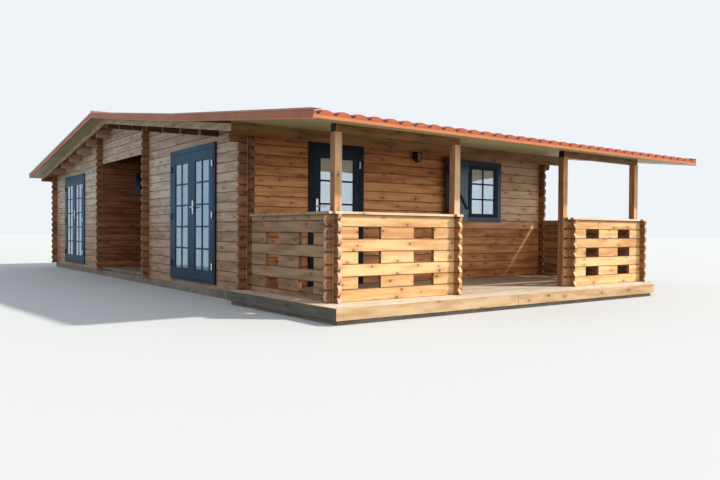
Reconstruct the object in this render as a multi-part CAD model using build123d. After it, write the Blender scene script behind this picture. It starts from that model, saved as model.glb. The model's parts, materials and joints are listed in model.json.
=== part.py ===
from build123d import *
import os
from math import ceil, cos, hypot, radians, tan

# A log cabin of machined 44 mm logs with a recessed porch and a covered veranda.
# All sizes are in millimetres. Lengths along the front are X, depths are Y, heights are Z.
# Plan sizes count from the crossing of the front wall and the left gable wall.
# Heights count from the ground, and the finished part is centred over the origin at the end.

# Logs
log_height = 133.0
log_thickness = 44.0
joint_depth = 4.0
joint_half_height = 5.0
end_bulge = 32.0
wall_end_run = 150.0
railing_end_run = 115.0

# Plan of the cabin, from crossing to crossing
cabin_width = 5720.0
cabin_depth = 10100.0
porch_near = 3580.0
porch_far = 6270.0
porch_depth = 1500.0

# Heights
floor_height = 170.0
floor_build_up = log_height / 2
foundation_edge = 12.0
fit_gap = 1.0

# Veranda
veranda_depth = 1940.0
bay_width = 1745.0
railing_courses = 7
gap_courses = (1, 3, 5)
railing_gap_width = 312.0
railing_gap_margin = 300.0
railing_gap_bay_margin = 350.0
side_gap_margin = 355.0
side_gap_rear_margin = 510.0
cap_thickness = 26.0
cap_width = 100.0
post_size = 90.0
beam_depth = 90.0
post_height = 1795.0
beam_end_inset = 10.0
deck_thickness = 28.0
deck_left_run = 290.0
deck_right_run = 130.0
deck_front_run = 470.0
deck_corner_width = 520.0
deck_corner_depth = 350.0
fascia_height = 120.0
fascia_thickness = 22.0
base_inset = 45.0

# Roof
ridge_height = 2875.0
main_pitch = 8.0
veranda_pitch = 6.8
kink_from_front = 1100.0
panel_thickness = 80.0
tile_rise = 38.0
roof_board_thickness = 19.0
verge_left_run = 570.0
verge_right_run = 770.0
rear_eave_run = 430.0
front_eave_run = 475.0
board_gable_run = 320.0
board_eave_run = 200.0
barge_height = 96.0
barge_thickness = 19.0
eave_board_height = 125.0
purlin_count = 6
purlin_pitch = 700.0
purlin_height = 152.0
console_run = 130.0
flashing_thickness = 4.0
verge_flashing_drop = 4.0
verge_flashing_top = 110.0
eave_flashing_height = 50.0
eave_flashing_top = 70.0
ridge_cap_half_width = 170.0
ridge_cap_thickness = 12.0

# Doors and windows
frame_width = 75.0
frame_depth = 84.0
frame_proud = 26.0
leaf_thickness = 44.0
leaf_gap = 5.0
stile_width = 122.0
front_stile_width = 92.0
rail_width = 130.0
threshold_height = 32.0
glass_thickness = 20.0
door_height = 1968.0
near_pair_start = 885.0
pair_width = 1650.0
front_door_start = 890.0
front_door_width = 917.0
window_start = 3830.0
window_width = 860.0
window_sill_height = 912.0
window_height = 985.0
small_window_start = 640.0
small_window_width = 520.0
small_window_sill = 1480.0
small_window_height = 440.0
porch_door_width = 917.0
sash_width = 85.0
sash_rail_width = 45.0
barrel_radius = 10.0
barrel_length = 90.0
barrel_margin = 160.0
barrel_clearance = 0.4
hinge_plate_reach = 34.0

# Handles
handle_height = 1050.0
plate_height = 200.0
plate_width = 36.0
plate_thickness = 8.0
lever_length = 115.0
lever_radius = 10.0
lever_reach = 48.0

# Shutter
shutter_width = 560.0
shutter_height = 985.0
shutter_thickness = 22.0
shutter_edge_gap = 16.0
shutter_axis_reach = 30.0
shutter_strap_thickness = 4.0
shutter_batten = 22.0
shutter_batten_width = 90.0
shutter_batten_inset = 25.0
shutter_batten_heights = (150.0, 835.0)
shutter_axis_inset = 62.0
brace_width = 45.0
shutter_open_angle = 174.0

# Lamp
lamp_start = 2720.0
lamp_width = 110.0
lamp_height = 190.0
lamp_body_height = 133.0
lamp_tip_width = 20.0
lamp_sill = 1790.0
lamp_reach = 140.0
lamp_plate_width = 70.0
lamp_plate_thickness = 10.0
lamp_arm_width = 16.0

os.makedirs("parts", exist_ok=True)

half_log = log_thickness / 2
wall_base = floor_height - floor_build_up
ridge_y = cabin_depth / 2
main_slope = tan(radians(main_pitch))
veranda_slope = tan(radians(veranda_pitch))
railing_y = -veranda_depth
railing_height = railing_courses * log_height
far_pair_start = cabin_depth - near_pair_start - pair_width
panel_drop = panel_thickness / cos(radians(main_pitch))
veranda_panel_drop = panel_thickness / cos(radians(veranda_pitch))
board_drop = roof_board_thickness / cos(radians(main_pitch))
front_eave_y = railing_y - front_eave_run
rear_eave_y = cabin_depth + rear_eave_run
frame_face = -half_log - frame_proud
door_opening_top = floor_height + door_height
solids = {}


def block(x0, x1, y0, y1, z0, z1):
    """A box between two corners."""
    return Pos((x0 + x1) / 2, (y0 + y1) / 2, (z0 + z1) / 2) * Box(x1 - x0, y1 - y0, z1 - z0)


def side_prism(points, x0, x1):
    """A prism along X from an outline of (y, z) points."""
    face = make_face(Polyline([(x0, y, z) for y, z in points], close=True))
    return extrude(face, amount=x1 - x0, dir=(1, 0, 0))


def main_top(y):
    """Height of the main roof's upper face, at the crests of its tile profile."""
    return floor_height + ridge_height - abs(y - ridge_y) * main_slope


def veranda_top(y):
    """Height of the veranda roof's upper face, which starts at the kink."""
    return main_top(kink_from_front) - (kink_from_front - y) * veranda_slope


def board_top(y):
    """Height of the cabin's own roof boards, right under the main panels."""
    return main_top(y) - panel_drop


def wall_top(y):
    """Height of the underside of the roof boards, where the walls end."""
    return board_top(y) - board_drop


# Walls

def log_ends(length, z0, z1, first, start_round, end_round):
    """The wall's outline seen from its side, with each log's end rounded where it is free."""
    edges = []
    joints = [first + n * log_height for n in range(ceil((z1 - first) / log_height))]
    courses = [(low, low + log_height) for low in joints if low + log_height > z0]
    bottom, top = courses[0][0], courses[-1][1]
    edges.append(Line((0, 0, bottom), (length, 0, bottom)))
    for low, high in courses:
        if end_round:
            middle = (length + end_bulge, 0, (low + high) / 2)
            edges.append(ThreePointArc((length, 0, low), middle, (length, 0, high)))
        else:
            edges.append(Line((length, 0, low), (length, 0, high)))
    edges.append(Line((length, 0, top), (0, 0, top)))
    for low, high in reversed(courses):
        if start_round:
            middle = (-end_bulge, 0, (low + high) / 2)
            edges.append(ThreePointArc((0, 0, high), middle, (0, 0, low)))
        else:
            edges.append(Line((0, 0, high), (0, 0, low)))
    return make_face(edges), courses


def log_wall(start, end, z0, z1, first, round_start=True, round_end=True):
    """Stacked logs along X, centred on Y = 0, with a V joint between two logs on both faces."""
    start_in = start + (end_bulge if round_start else 0)
    end_in = end - (end_bulge if round_end else 0)
    face, courses = log_ends(end_in - start_in, z0, z1, first, round_start, round_end)
    wall = Pos(start_in, half_log, 0) * extrude(face, amount=log_thickness, dir=(0, -1, 0))
    section = [(-half_log, courses[0][0])]
    for low, high in courses[:-1]:
        section.append((-half_log, high - joint_half_height))
        section.append((-half_log + joint_depth, high))
        section.append((-half_log, high + joint_half_height))
    section.append((-half_log, courses[-1][1]))
    mirrored = [(-y, z) for y, z in reversed(section)]
    wall = wall & side_prism(section + mirrored, start - 1, end + 1)
    return wall & block(start - 1, end + 1, -half_log, half_log, z0, z1)


def x_wall(start, end, y, z0, z1, round_start=True, round_end=True):
    """A wall along X: its joints are whole log heights over the floor."""
    first = floor_height - log_height
    return Pos(0, y, 0) * log_wall(start, end, z0, z1, first, round_start, round_end)


def y_wall(start, end, x, z0, z1, round_start=True, round_end=True):
    """A wall along Y: its joints are half a log lower, so the two kinds lock at a crossing."""
    first = floor_height - log_height / 2
    wall = log_wall(start, end, z0, z1, first, round_start, round_end)
    return Pos(x, 0, 0) * (Rot(0, 0, 90) * wall)


def x_wall_notches(x, y, z_top):
    """Where an X wall gives way to a Y wall at their crossing: half of each log's height."""
    notches = []
    low = floor_height - log_height / 4
    while low < z_top:
        if low + log_height / 2 > wall_base:
            notches.append(block(x - half_log, x + half_log, y - half_log, y + half_log,
                                 low, low + log_height / 2))
        low += log_height
    return notches


def y_wall_notches(x, y, z_top):
    """Where a Y wall gives way to an X wall at their crossing."""
    notches = []
    low = floor_height - 3 * log_height / 4
    while low < z_top:
        notches.append(block(x - half_log, x + half_log, y - half_log, y + half_log,
                             low, low + log_height / 2))
        low += log_height
    return notches


def cut_all(body, cutters):
    """Takes every cutter away from the body in one step."""
    return body - cutters if cutters else body


def under_roof(x0, x1):
    """All the space under the cabin's own roof boards."""
    low, high = -board_eave_run, cabin_depth + board_eave_run
    outline = [(low, 0), (high, 0), (high, wall_top(high)), (ridge_y, wall_top(ridge_y)),
               (low, wall_top(low))]
    return side_prism(outline, x0, x1)


left_end, right_end = -wall_end_run, cabin_width + wall_end_run
front_end, rear_end = -wall_end_run, cabin_depth + wall_end_run
tall = floor_height + ridge_height
head_course = floor_height + 14 * log_height
gable_course = floor_height + 14.5 * log_height
roof_space = under_roof(left_end - console_run - 1, right_end + console_run + 1)

# Purlins run through both gable walls out to the barge boards.
purlin_start = -board_gable_run + fit_gap
purlin_end = cabin_width + board_gable_run - fit_gap
purlins = []
for side in (-1, 1):
    for step in range(purlin_count + 1):
        if step == 0 and side == 1:
            continue
        y = ridge_y + side * step * purlin_pitch
        high = wall_top(ridge_y if step == 0 else y - half_log)
        purlins.append(block(purlin_start, purlin_end, y - half_log, y + half_log,
                             wall_top(y) - purlin_height, tall) & roof_space)

corners = [(0, 0), (cabin_width, 0), (0, cabin_depth), (cabin_width, cabin_depth)]

# The front wall: logs on both sides of the door, and the courses over it.
front_notches = x_wall_notches(0, 0, tall) + x_wall_notches(cabin_width, 0, tall)
front_left = x_wall(left_end, front_door_start, 0, wall_base, head_course, True, False)
front_right = x_wall(front_door_start + front_door_width, right_end, 0, wall_base, head_course,
                     False, True)


def window_hole(start, width, sill, height, y):
    """A hole through an X wall for a window's frame."""
    return block(start, start + width, y - 2 * log_thickness, y + 2 * log_thickness,
                 floor_height + sill, floor_height + sill + height)


front_window_hole = window_hole(window_start, window_width, window_sill_height, window_height, 0)
console_start = left_end - console_run
console_end = right_end + console_run
top_course = x_wall(console_start, console_end, 0, head_course, tall) & roof_space
door_head_hole = block(front_door_start, front_door_start + front_door_width,
                       -2 * log_thickness, 2 * log_thickness, 0, door_opening_top)
solids["front_wall"] = [cut_all(front_left, front_notches),
                        cut_all(front_right, front_notches + [front_window_hole])]
solids["front_wall_top"] = cut_all(top_course, front_notches + [door_head_hole, front_window_hole])

# The left gable wall: logs beside the two pairs of doors, and the gable over them.
near_pair_end = near_pair_start + pair_width
far_pair_end = far_pair_start + pair_width
left_notches = []
for y in (0, porch_near, porch_far, cabin_depth):
    left_notches += y_wall_notches(0, y, tall)
porch_near_edge = porch_near + half_log
porch_far_edge = porch_far - half_log
left_spans = [(front_end, near_pair_start, True, False),
              (near_pair_end, porch_near_edge, False, False),
              (porch_far_edge, far_pair_start, False, False),
              (far_pair_end, rear_end, False, True)]
solids["left_wall"] = [cut_all(y_wall(start, end, 0, wall_base, gable_course, *rounds), left_notches)
                       for start, end, *rounds in left_spans]
gable = y_wall(front_end, rear_end, 0, gable_course, tall) & roof_space
gable_holes = [block(-2 * log_thickness, 2 * log_thickness, start, start + pair_width, 0,
                     door_opening_top) for start in (near_pair_start, far_pair_start)]
porch_head = block(-2 * log_thickness, 2 * log_thickness, porch_near_edge, porch_far_edge, 0,
                   gable_course + log_height)
solids["left_wall_gable"] = cut_all(gable, left_notches + gable_holes + [porch_head] + purlins)

# The right gable wall and the rear wall stand whole, with windows like the front one.
right_notches = y_wall_notches(cabin_width, 0, tall) + y_wall_notches(cabin_width, cabin_depth, tall)
right = y_wall(front_end, rear_end, cabin_width, wall_base, tall) & roof_space
right_window_starts = [near_pair_start + (pair_width - window_width) / 2,
                       far_pair_start + (pair_width - window_width) / 2]
right_holes = [block(cabin_width - 2 * log_thickness, cabin_width + 2 * log_thickness,
                     start, start + window_width, floor_height + window_sill_height,
                     floor_height + window_sill_height + window_height)
               for start in right_window_starts]
solids["right_wall"] = cut_all(right, right_notches + right_holes + purlins)
rear_notches = x_wall_notches(0, cabin_depth, tall) + x_wall_notches(cabin_width, cabin_depth, tall)
rear = x_wall(left_end, right_end, cabin_depth, wall_base, tall) & roof_space
rear_window_starts = [cabin_width / 4 - window_width / 2, 3 * cabin_width / 4 - window_width / 2]
rear_holes = [window_hole(start, window_width, window_sill_height, window_height, cabin_depth)
              for start in rear_window_starts]
solids["rear_wall"] = cut_all(rear, rear_notches + rear_holes)

# The recessed porch: two side walls and a back wall with the entrance in it.
porch_end = porch_depth + wall_end_run
porch_doorway_start = (porch_near + porch_far - porch_door_width) / 2
side_walls = []
for y in (porch_near, porch_far):
    wall = x_wall(left_end, porch_end, y, wall_base, tall) & roof_space
    notches = x_wall_notches(0, y, tall) + x_wall_notches(porch_depth, y, tall)
    if y == porch_far:
        notches.append(window_hole(small_window_start, small_window_width, small_window_sill,
                                   small_window_height, y))
    side_walls.append(cut_all(wall, notches + purlins))
solids["porch_side_walls"] = side_walls
back = y_wall(porch_near - wall_end_run, porch_far + wall_end_run, porch_depth, wall_base, tall)
back_notches = y_wall_notches(porch_depth, porch_near, tall)
back_notches += y_wall_notches(porch_depth, porch_far, tall)
back_hole = block(porch_depth - 2 * log_thickness, porch_depth + 2 * log_thickness,
                  porch_doorway_start, porch_doorway_start + porch_door_width,
                  floor_height, door_opening_top)
solids["porch_back_wall"] = cut_all(back & roof_space, back_notches + [back_hole] + purlins)
solids["purlins"] = purlins

# Ground works and floors
outer = half_log + foundation_edge
solids["cabin_foundation"] = block(-outer, cabin_width + outer, -outer, cabin_depth + outer,
                                   0, wall_base)
inner_floor = block(half_log, cabin_width - half_log, half_log, cabin_depth - half_log,
                    wall_base, floor_height)
doorways = [block(front_door_start, front_door_start + front_door_width, -half_log, half_log + 1,
                  wall_base, floor_height)]
doorways += [block(-half_log, half_log + 1, start, start + pair_width, wall_base, floor_height)
             for start in (near_pair_start, far_pair_start)]
for doorway in doorways:
    inner_floor = inner_floor + doorway
porch_room = block(-half_log - 1, porch_depth + half_log, porch_near - half_log,
                   porch_far + half_log, 0, tall)
crossing_ends = [block(half_log, porch_end + 1, y - half_log, y + half_log, 0, tall)
                 for y in (porch_near, porch_far)]
crossing_ends.append(block(porch_depth - half_log, porch_depth + half_log,
                           porch_near - wall_end_run - 1, porch_far + wall_end_run + 1, 0, tall))
solids["cabin_floor"] = cut_all(inner_floor, [porch_room] + crossing_ends)
solids["porch_floor"] = block(-half_log, porch_depth - half_log, porch_near_edge, porch_far_edge,
                              wall_base, floor_height)

deck_left, deck_right = -deck_left_run, cabin_width + deck_right_run
deck_front, deck_rear = railing_y - deck_front_run, -half_log - fit_gap
deck_base = floor_height - deck_thickness
log_end_spaces = [block(x - half_log - fit_gap, x + half_log + fit_gap, front_end - fit_gap,
                        deck_rear + 1, wall_base - fit_gap, tall) for x in (0, cabin_width)]


def deck_prism(inset, rear, z0, z1):
    """The deck's plan, its right front corner cut off, drawn in by the inset at all outer sides."""
    cut_length = hypot(deck_corner_width, deck_corner_depth)
    front_slip = inset * (cut_length - deck_corner_width) / deck_corner_depth
    side_slip = inset * (cut_length - deck_corner_depth) / deck_corner_width
    left, right, front = deck_left + inset, deck_right - inset, deck_front + inset
    plan = [(left, rear), (left, front), (deck_right - deck_corner_width - front_slip, front),
            (right, deck_front + deck_corner_depth + side_slip), (right, rear)]
    floor_face = make_face(Polyline([(x, y, z0) for x, y in plan], close=True))
    return extrude(floor_face, amount=z1 - z0, dir=(0, 0, 1))


deck = deck_prism(fascia_thickness, deck_rear, deck_base, floor_height)
solids["veranda_deck"] = cut_all(deck, log_end_spaces)
base = deck_prism(base_inset, -outer - fit_gap, 0, deck_base)
solids["veranda_base"] = cut_all(base, log_end_spaces)
fascia_bottom = floor_height - fascia_height
solids["deck_fascia"] = (deck_prism(0, deck_rear, fascia_bottom, floor_height)
                         - deck_prism(fascia_thickness, deck_rear + 1, fascia_bottom - 1,
                                      floor_height + 1))

# Railings of logs with gaps in every other course
bay_left, bay_right = bay_width, cabin_width - bay_width
rail_top = floor_height + railing_height


def gap_row(starts, y0, y1, first):
    """Openings one log high in the railing's gap courses."""
    return [block(start, start + railing_gap_width, y0, y1, first + course * log_height,
                  first + (course + 1) * log_height) for start in starts for course in gap_courses]


def front_railing(outer_x, bay_x):
    """Logs between a corner and the open bay, and the short cross logs at the bay."""
    low = min(outer_x, bay_x) - railing_end_run
    high = max(outer_x, bay_x) + railing_end_run
    logs = x_wall(low, high, railing_y, floor_height, rail_top)
    margins = (railing_gap_margin, railing_gap_bay_margin)
    low_margin, high_margin = margins if outer_x < bay_x else reversed(margins)
    starts = [min(outer_x, bay_x) + low_margin,
              max(outer_x, bay_x) - high_margin - railing_gap_width]
    logs = cut_all(logs, gap_row(starts, railing_y - log_thickness, railing_y + log_thickness,
                                 floor_height) + x_wall_notches(outer_x, railing_y, rail_top))
    stub = y_wall(railing_y - railing_end_run, railing_y + railing_end_run, bay_x,
                  floor_height, rail_top)
    return logs + stub


solids["railing_front_left"] = front_railing(0, bay_left)
solids["railing_front_right"] = front_railing(cabin_width, bay_right)


def side_railing(x):
    """Logs from the front railing back to the cabin's own log ends."""
    logs = y_wall(railing_y - railing_end_run, front_end - fit_gap, x, floor_height, rail_top,
                  True, False)
    starts = [railing_y + side_gap_margin, -side_gap_rear_margin - railing_gap_width]
    low = floor_height - log_height / 2
    gaps = [block(x - log_thickness, x + log_thickness, start, start + railing_gap_width,
                  low + course * log_height, low + (course + 1) * log_height)
            for start in starts for course in gap_courses]
    return cut_all(logs, y_wall_notches(x, railing_y, rail_top) + gaps)


solids["railing_left"] = side_railing(0)
solids["railing_right"] = side_railing(cabin_width)

# Posts stand on the deck in the inner corners of the railings, and beams lie on them.
post_y0, post_y1 = railing_y + half_log, railing_y + half_log + post_size
post_starts = [half_log, bay_left + half_log, bay_right - half_log - post_size,
               cabin_width - half_log - post_size]
post_top = floor_height + post_height
posts = [block(start, start + post_size, post_y0, post_y1, floor_height, post_top)
         for start in post_starts]
solids["veranda_posts"] = posts


def under_veranda(x0, x1):
    """All the space under the veranda's panels."""
    low, high = front_eave_y, kink_from_front
    outline = [(low, 0), (high, 0), (high, veranda_top(high) - veranda_panel_drop),
               (low, veranda_top(low) - veranda_panel_drop)]
    return side_prism(outline, x0, x1)


beam_y0 = post_y0 + (post_size - beam_depth) / 2
beam_spans = [(post_starts[0] + beam_end_inset, post_starts[1] + post_size - beam_end_inset),
              (post_starts[2] + beam_end_inset, post_starts[3] + post_size - beam_end_inset)]
solids["veranda_beams"] = [block(start, end, beam_y0, beam_y0 + beam_depth, post_top, tall)
                           & under_veranda(start - 1, end + 1) for start, end in beam_spans]

cap_half = cap_width / 2
cap_low, cap_high = rail_top, rail_top + cap_thickness
caps = []
for corner_x, side_sign, span_end in ((0, 1, bay_left), (cabin_width, -1, bay_right)):
    outer_x = corner_x - side_sign * (railing_end_run - end_bulge / 2)
    bay_end = span_end + side_sign * (railing_end_run - end_bulge / 2)
    front_cap = block(min(outer_x, bay_end), max(outer_x, bay_end), railing_y - cap_half,
                      railing_y + cap_half, cap_low, cap_high)
    side_cap = block(corner_x - cap_half, corner_x + cap_half,
                     railing_y - railing_end_run + end_bulge / 2, front_end - fit_gap,
                     cap_low, cap_high)
    stub_cap = block(span_end - cap_half, span_end + cap_half,
                     railing_y - railing_end_run + end_bulge / 2,
                     railing_y + railing_end_run - end_bulge / 2, cap_low, cap_high)
    caps.append(cut_all(front_cap + side_cap + stub_cap, posts))
solids["railing_caps"] = caps

# The roof
board_low, board_high = -board_eave_run, cabin_depth + board_eave_run
board_outline = [(board_low, wall_top(board_low)), (ridge_y, wall_top(ridge_y)),
                 (board_high, wall_top(board_high)), (board_high, board_top(board_high)),
                 (ridge_y, board_top(ridge_y)), (board_low, board_top(board_low))]
solids["roof_boards"] = side_prism(board_outline, -board_gable_run, cabin_width + board_gable_run)


def barge(x0, x1):
    """Two raking boards that meet under the ridge."""
    outline = [(board_low, board_top(board_low) - barge_height),
               (ridge_y, board_top(ridge_y) - barge_height),
               (board_high, board_top(board_high) - barge_height),
               (board_high, board_top(board_high)), (ridge_y, board_top(ridge_y)),
               (board_low, board_top(board_low))]
    return side_prism(outline, x0, x1)


barge_left = -board_gable_run - barge_thickness
barge_right = cabin_width + board_gable_run + barge_thickness
solids["barge_boards"] = [barge(barge_left, -board_gable_run),
                          barge(cabin_width + board_gable_run, barge_right)]
rear_board_top = board_top(board_high + barge_thickness)
eave_board_bottom = rear_board_top - eave_board_height
front_board_top = veranda_top(board_low - barge_thickness) - veranda_panel_drop
solids["eave_boards"] = [block(barge_left, barge_right, low, low + barge_thickness,
                               eave_board_bottom, top)
                         for low, top in ((board_low - barge_thickness, front_board_top),
                                          (board_high, rear_board_top))]

panel_start, panel_end = -verge_left_run, cabin_width + verge_right_run


def panel(y0, z0, y1, z1, drop):
    """A panel's flat core, which lies under the tile profile between two points of the crest line."""
    return side_prism([(y0, z0 - tile_rise), (y1, z1 - tile_rise), (y1, z1 - drop), (y0, z0 - drop)],
                      panel_start, panel_end)


solids["roof_panels_rear"] = panel(ridge_y, main_top(ridge_y), rear_eave_y, main_top(rear_eave_y),
                                   panel_drop)
solids["roof_panels_front"] = panel(kink_from_front, main_top(kink_from_front), ridge_y,
                                    main_top(ridge_y), panel_drop)
veranda_panel = panel(front_eave_y, veranda_top(front_eave_y), kink_from_front,
                      main_top(kink_from_front), veranda_panel_drop)
solids["roof_panels_veranda"] = veranda_panel - solids["roof_panels_front"] - solids["roof_boards"]

cap_rise = ridge_cap_thickness / cos(radians(main_pitch))
cap_lines = [ridge_y - ridge_cap_half_width, ridge_y, ridge_y + ridge_cap_half_width]
cap_outline = [(y, main_top(y) - tile_rise) for y in cap_lines]
cap_outline += [(y, main_top(y) + cap_rise) for y in reversed(cap_lines)]
solids["ridge_cap"] = side_prism(cap_outline, panel_start, panel_end)


def roof_line(rise, main_drop=0.0, veranda_drop=0.0):
    """The roof's upper line from the rear eave to the front eave, raised or dropped."""
    return [(rear_eave_y, main_top(rear_eave_y) + rise - main_drop),
            (ridge_y, main_top(ridge_y) + rise - main_drop),
            (kink_from_front, main_top(kink_from_front) + rise - main_drop),
            (front_eave_y, veranda_top(front_eave_y) + rise - veranda_drop)]


def verge_flashing(x_face, x_out, x_in):
    """A bent sheet that covers the panels' cut side and laps over their tops."""
    low = roof_line(0, panel_drop + verge_flashing_drop, veranda_panel_drop + verge_flashing_drop)
    high = roof_line(flashing_thickness)
    side = side_prism(low + list(reversed(high)), min(x_face, x_out), max(x_face, x_out))
    top = side_prism(roof_line(0) + list(reversed(high)), min(x_face, x_in), max(x_face, x_in))
    return side + top - solids["ridge_cap"]


solids["verge_flashings"] = [
    verge_flashing(panel_start, panel_start - flashing_thickness, panel_start + verge_flashing_top),
    verge_flashing(panel_end, panel_end + flashing_thickness, panel_end - verge_flashing_top)]


def eave_flashing(y, side, top_z, slope):
    """A bent sheet over the lower edge of the panels' cores."""
    face = y + side * flashing_thickness
    lap = y - side * eave_flashing_top
    lap_z = top_z + eave_flashing_top * slope
    outline = [(y, top_z), (lap, lap_z), (lap, lap_z + flashing_thickness),
               (face, top_z + flashing_thickness), (face, top_z - eave_flashing_height),
               (y, top_z - eave_flashing_height)]
    return side_prism(outline, panel_start, panel_end)


solids["eave_flashings"] = [
    eave_flashing(front_eave_y, -1, veranda_top(front_eave_y) - tile_rise, veranda_slope),
    eave_flashing(rear_eave_y, 1, main_top(rear_eave_y) - tile_rise, main_slope)]

# Door frames, leaves and windows are made lying along X at Y = 0, outside towards -Y,
# with their left edge at X = 0 and their sill at Z = 0, and then put in their walls.
frame_y0, frame_y1 = frame_face, frame_face + frame_depth


def place_front(x, z, y=0.0):
    """Puts a piece in a wall that faces -Y."""
    return Pos(x, y, z)


def place_left(y_far, z):
    """Puts a piece in a wall that faces -X, its left edge at the far end."""
    return Pos(0, y_far, z) * Rot(0, 0, -90)


def place_right(y_near, z):
    """Puts a piece in a wall that faces +X."""
    return Pos(cabin_width, y_near, z) * Rot(0, 0, 90)


def place_rear(x_right, z):
    """Puts a piece in a wall that faces +Y."""
    return Pos(x_right, cabin_depth, z) * Rot(0, 0, 180)


def opening_frame(width, height, sill):
    """Four members round an opening. The sill member is the threshold on a door."""
    outer_block = block(0, width, frame_y0, frame_y1, 0, height)
    return outer_block - block(frame_width, width - frame_width, frame_y0 - 1, frame_y1 + 1,
                               sill, height - frame_width)


def hinge_barrels(edge, inward):
    """Three barrels on the hinge line, each with the plate that joins it to the leaf's face."""
    pieces = []
    for height in barrel_heights:
        pieces.append(Pos(edge, -barrel_offset, height + barrel_length / 2)
                      * Cylinder(barrel_radius, barrel_length))
        reach = edge + inward * hinge_plate_reach
        pieces.append(block(min(edge, reach), max(edge, reach), -barrel_offset, 0,
                            height, height + barrel_length))
    return pieces


def leaf_with_hinges(width, height, stile, hinge_left):
    """Stiles and rails round one light, with hinge barrels in front of the outer face."""
    leaf = block(0, width, 0, leaf_thickness, 0, height)
    leaf -= block(stile, width - stile, -1, leaf_thickness + 1, rail_width, height - rail_width)
    edge = -leaf_gap / 2 if hinge_left else width + leaf_gap / 2
    for piece in hinge_barrels(edge, 1 if hinge_left else -1):
        leaf = leaf + piece
    return leaf


def leaf_glass(width, height, stile):
    """The light's glazing unit, held by the leaf."""
    middle = leaf_thickness / 2
    return block(stile, width - stile, middle - glass_thickness / 2,
                 middle + glass_thickness / 2, rail_width, height - rail_width)


def door_handle(x, direction):
    """A back plate, a stem and a lever towards +X or -X, on the leaf's outer face."""
    plate = block(x - plate_width / 2, x + plate_width / 2, -plate_thickness, 0,
                  handle_height - plate_height / 2, handle_height + plate_height / 2)
    stem = Pos(x, -lever_reach / 2, handle_height) * Rot(90, 0, 0) * Cylinder(
        lever_radius, lever_reach)
    start = x - direction * lever_radius
    end = x + direction * lever_length
    lever = block(min(start, end), max(start, end), -lever_reach - lever_radius,
                  -lever_reach + lever_radius, handle_height - lever_radius,
                  handle_height + lever_radius)
    return plate + stem + lever


leaf_height = door_height - frame_width - threshold_height - 2 * leaf_gap
leaf_x = frame_width + leaf_gap
leaf_z = threshold_height + leaf_gap
barrel_offset = barrel_radius + barrel_clearance
barrel_heights = [barrel_margin, (leaf_height - barrel_length) / 2,
                  leaf_height - barrel_margin - barrel_length]
pair_leaf_width = (pair_width - 2 * frame_width - 3 * leaf_gap) / 2
single_leaf_width = front_door_width - 2 * frame_width - 2 * leaf_gap
right_leaf_x = leaf_x + pair_leaf_width + leaf_gap

door_frames = [place_front(front_door_start, floor_height)
               * opening_frame(front_door_width, door_height, threshold_height)]
for name, pair_end in (("near", near_pair_end), ("far", far_pair_end)):
    spot = place_left(pair_end, floor_height)
    door_frames.append(spot * opening_frame(pair_width, door_height, threshold_height))
    left_spot = spot * Pos(leaf_x, frame_face, leaf_z)
    right_spot = spot * Pos(right_leaf_x, frame_face, leaf_z)
    solids[name + "_pair_left_leaf"] = left_spot * leaf_with_hinges(pair_leaf_width, leaf_height,
                                                                    stile_width, True)
    solids[name + "_pair_left_glass"] = left_spot * leaf_glass(pair_leaf_width, leaf_height, stile_width)
    solids[name + "_pair_right_leaf"] = right_spot * leaf_with_hinges(pair_leaf_width, leaf_height,
                                                                      stile_width, False)
    solids[name + "_pair_right_glass"] = right_spot * leaf_glass(pair_leaf_width, leaf_height, stile_width)
    solids[name + "_pair_handle"] = right_spot * door_handle(stile_width / 2, 1)
front_spot = place_front(front_door_start, floor_height) * Pos(leaf_x, frame_face, leaf_z)
solids["front_door_leaf"] = front_spot * leaf_with_hinges(single_leaf_width, leaf_height,
                                                            front_stile_width, False)
solids["front_door_glass"] = front_spot * leaf_glass(single_leaf_width, leaf_height, front_stile_width)
solids["front_door_handle"] = front_spot * door_handle(front_stile_width / 2, 1)

# The entrance at the back of the porch is a plain closed door in a frame of its own.
porch_spot = Pos(porch_depth, porch_doorway_start + porch_door_width, floor_height) * Rot(0, 0, -90)
door_frames.append(porch_spot * opening_frame(porch_door_width, door_height, threshold_height))
solids["door_frames"] = door_frames
solids["porch_door"] = porch_spot * block(frame_width, porch_door_width - frame_width, frame_face,
                                          frame_face + leaf_thickness, threshold_height,
                                          door_height - frame_width)

# Windows: a frame in the logs, a fixed sash in the frame and glass in the sash.
window_spots = [(place_front(window_start, floor_height + window_sill_height),
                 window_width, window_height)]
window_spots += [(place_rear(start + window_width, floor_height + window_sill_height),
                  window_width, window_height) for start in rear_window_starts]
window_spots += [(place_right(start, floor_height + window_sill_height),
                  window_width, window_height) for start in right_window_starts]
window_spots += [(place_front(small_window_start, floor_height + small_window_sill, porch_far),
                  small_window_width, small_window_height)]
window_frames, window_sashes, window_glass = [], [], []
for spot, width, height in window_spots:
    window_frames.append(spot * opening_frame(width, height, frame_width))
    sash_outer = block(frame_width, width - frame_width, frame_face, frame_face + leaf_thickness,
                       frame_width, height - frame_width)
    side, sill = frame_width + sash_width, frame_width + sash_rail_width
    window_sashes.append(spot * (sash_outer - block(side, width - side, frame_face - 1,
                                                    frame_face + leaf_thickness + 1,
                                                    sill, height - sill)))
    middle = frame_face + leaf_thickness / 2
    window_glass.append(spot * block(side, width - side, middle - glass_thickness / 2,
                                     middle + glass_thickness / 2, sill, height - sill))
solids["window_frames"] = window_frames
solids["window_sashes"] = window_sashes
solids["window_glass"] = window_glass

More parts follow.
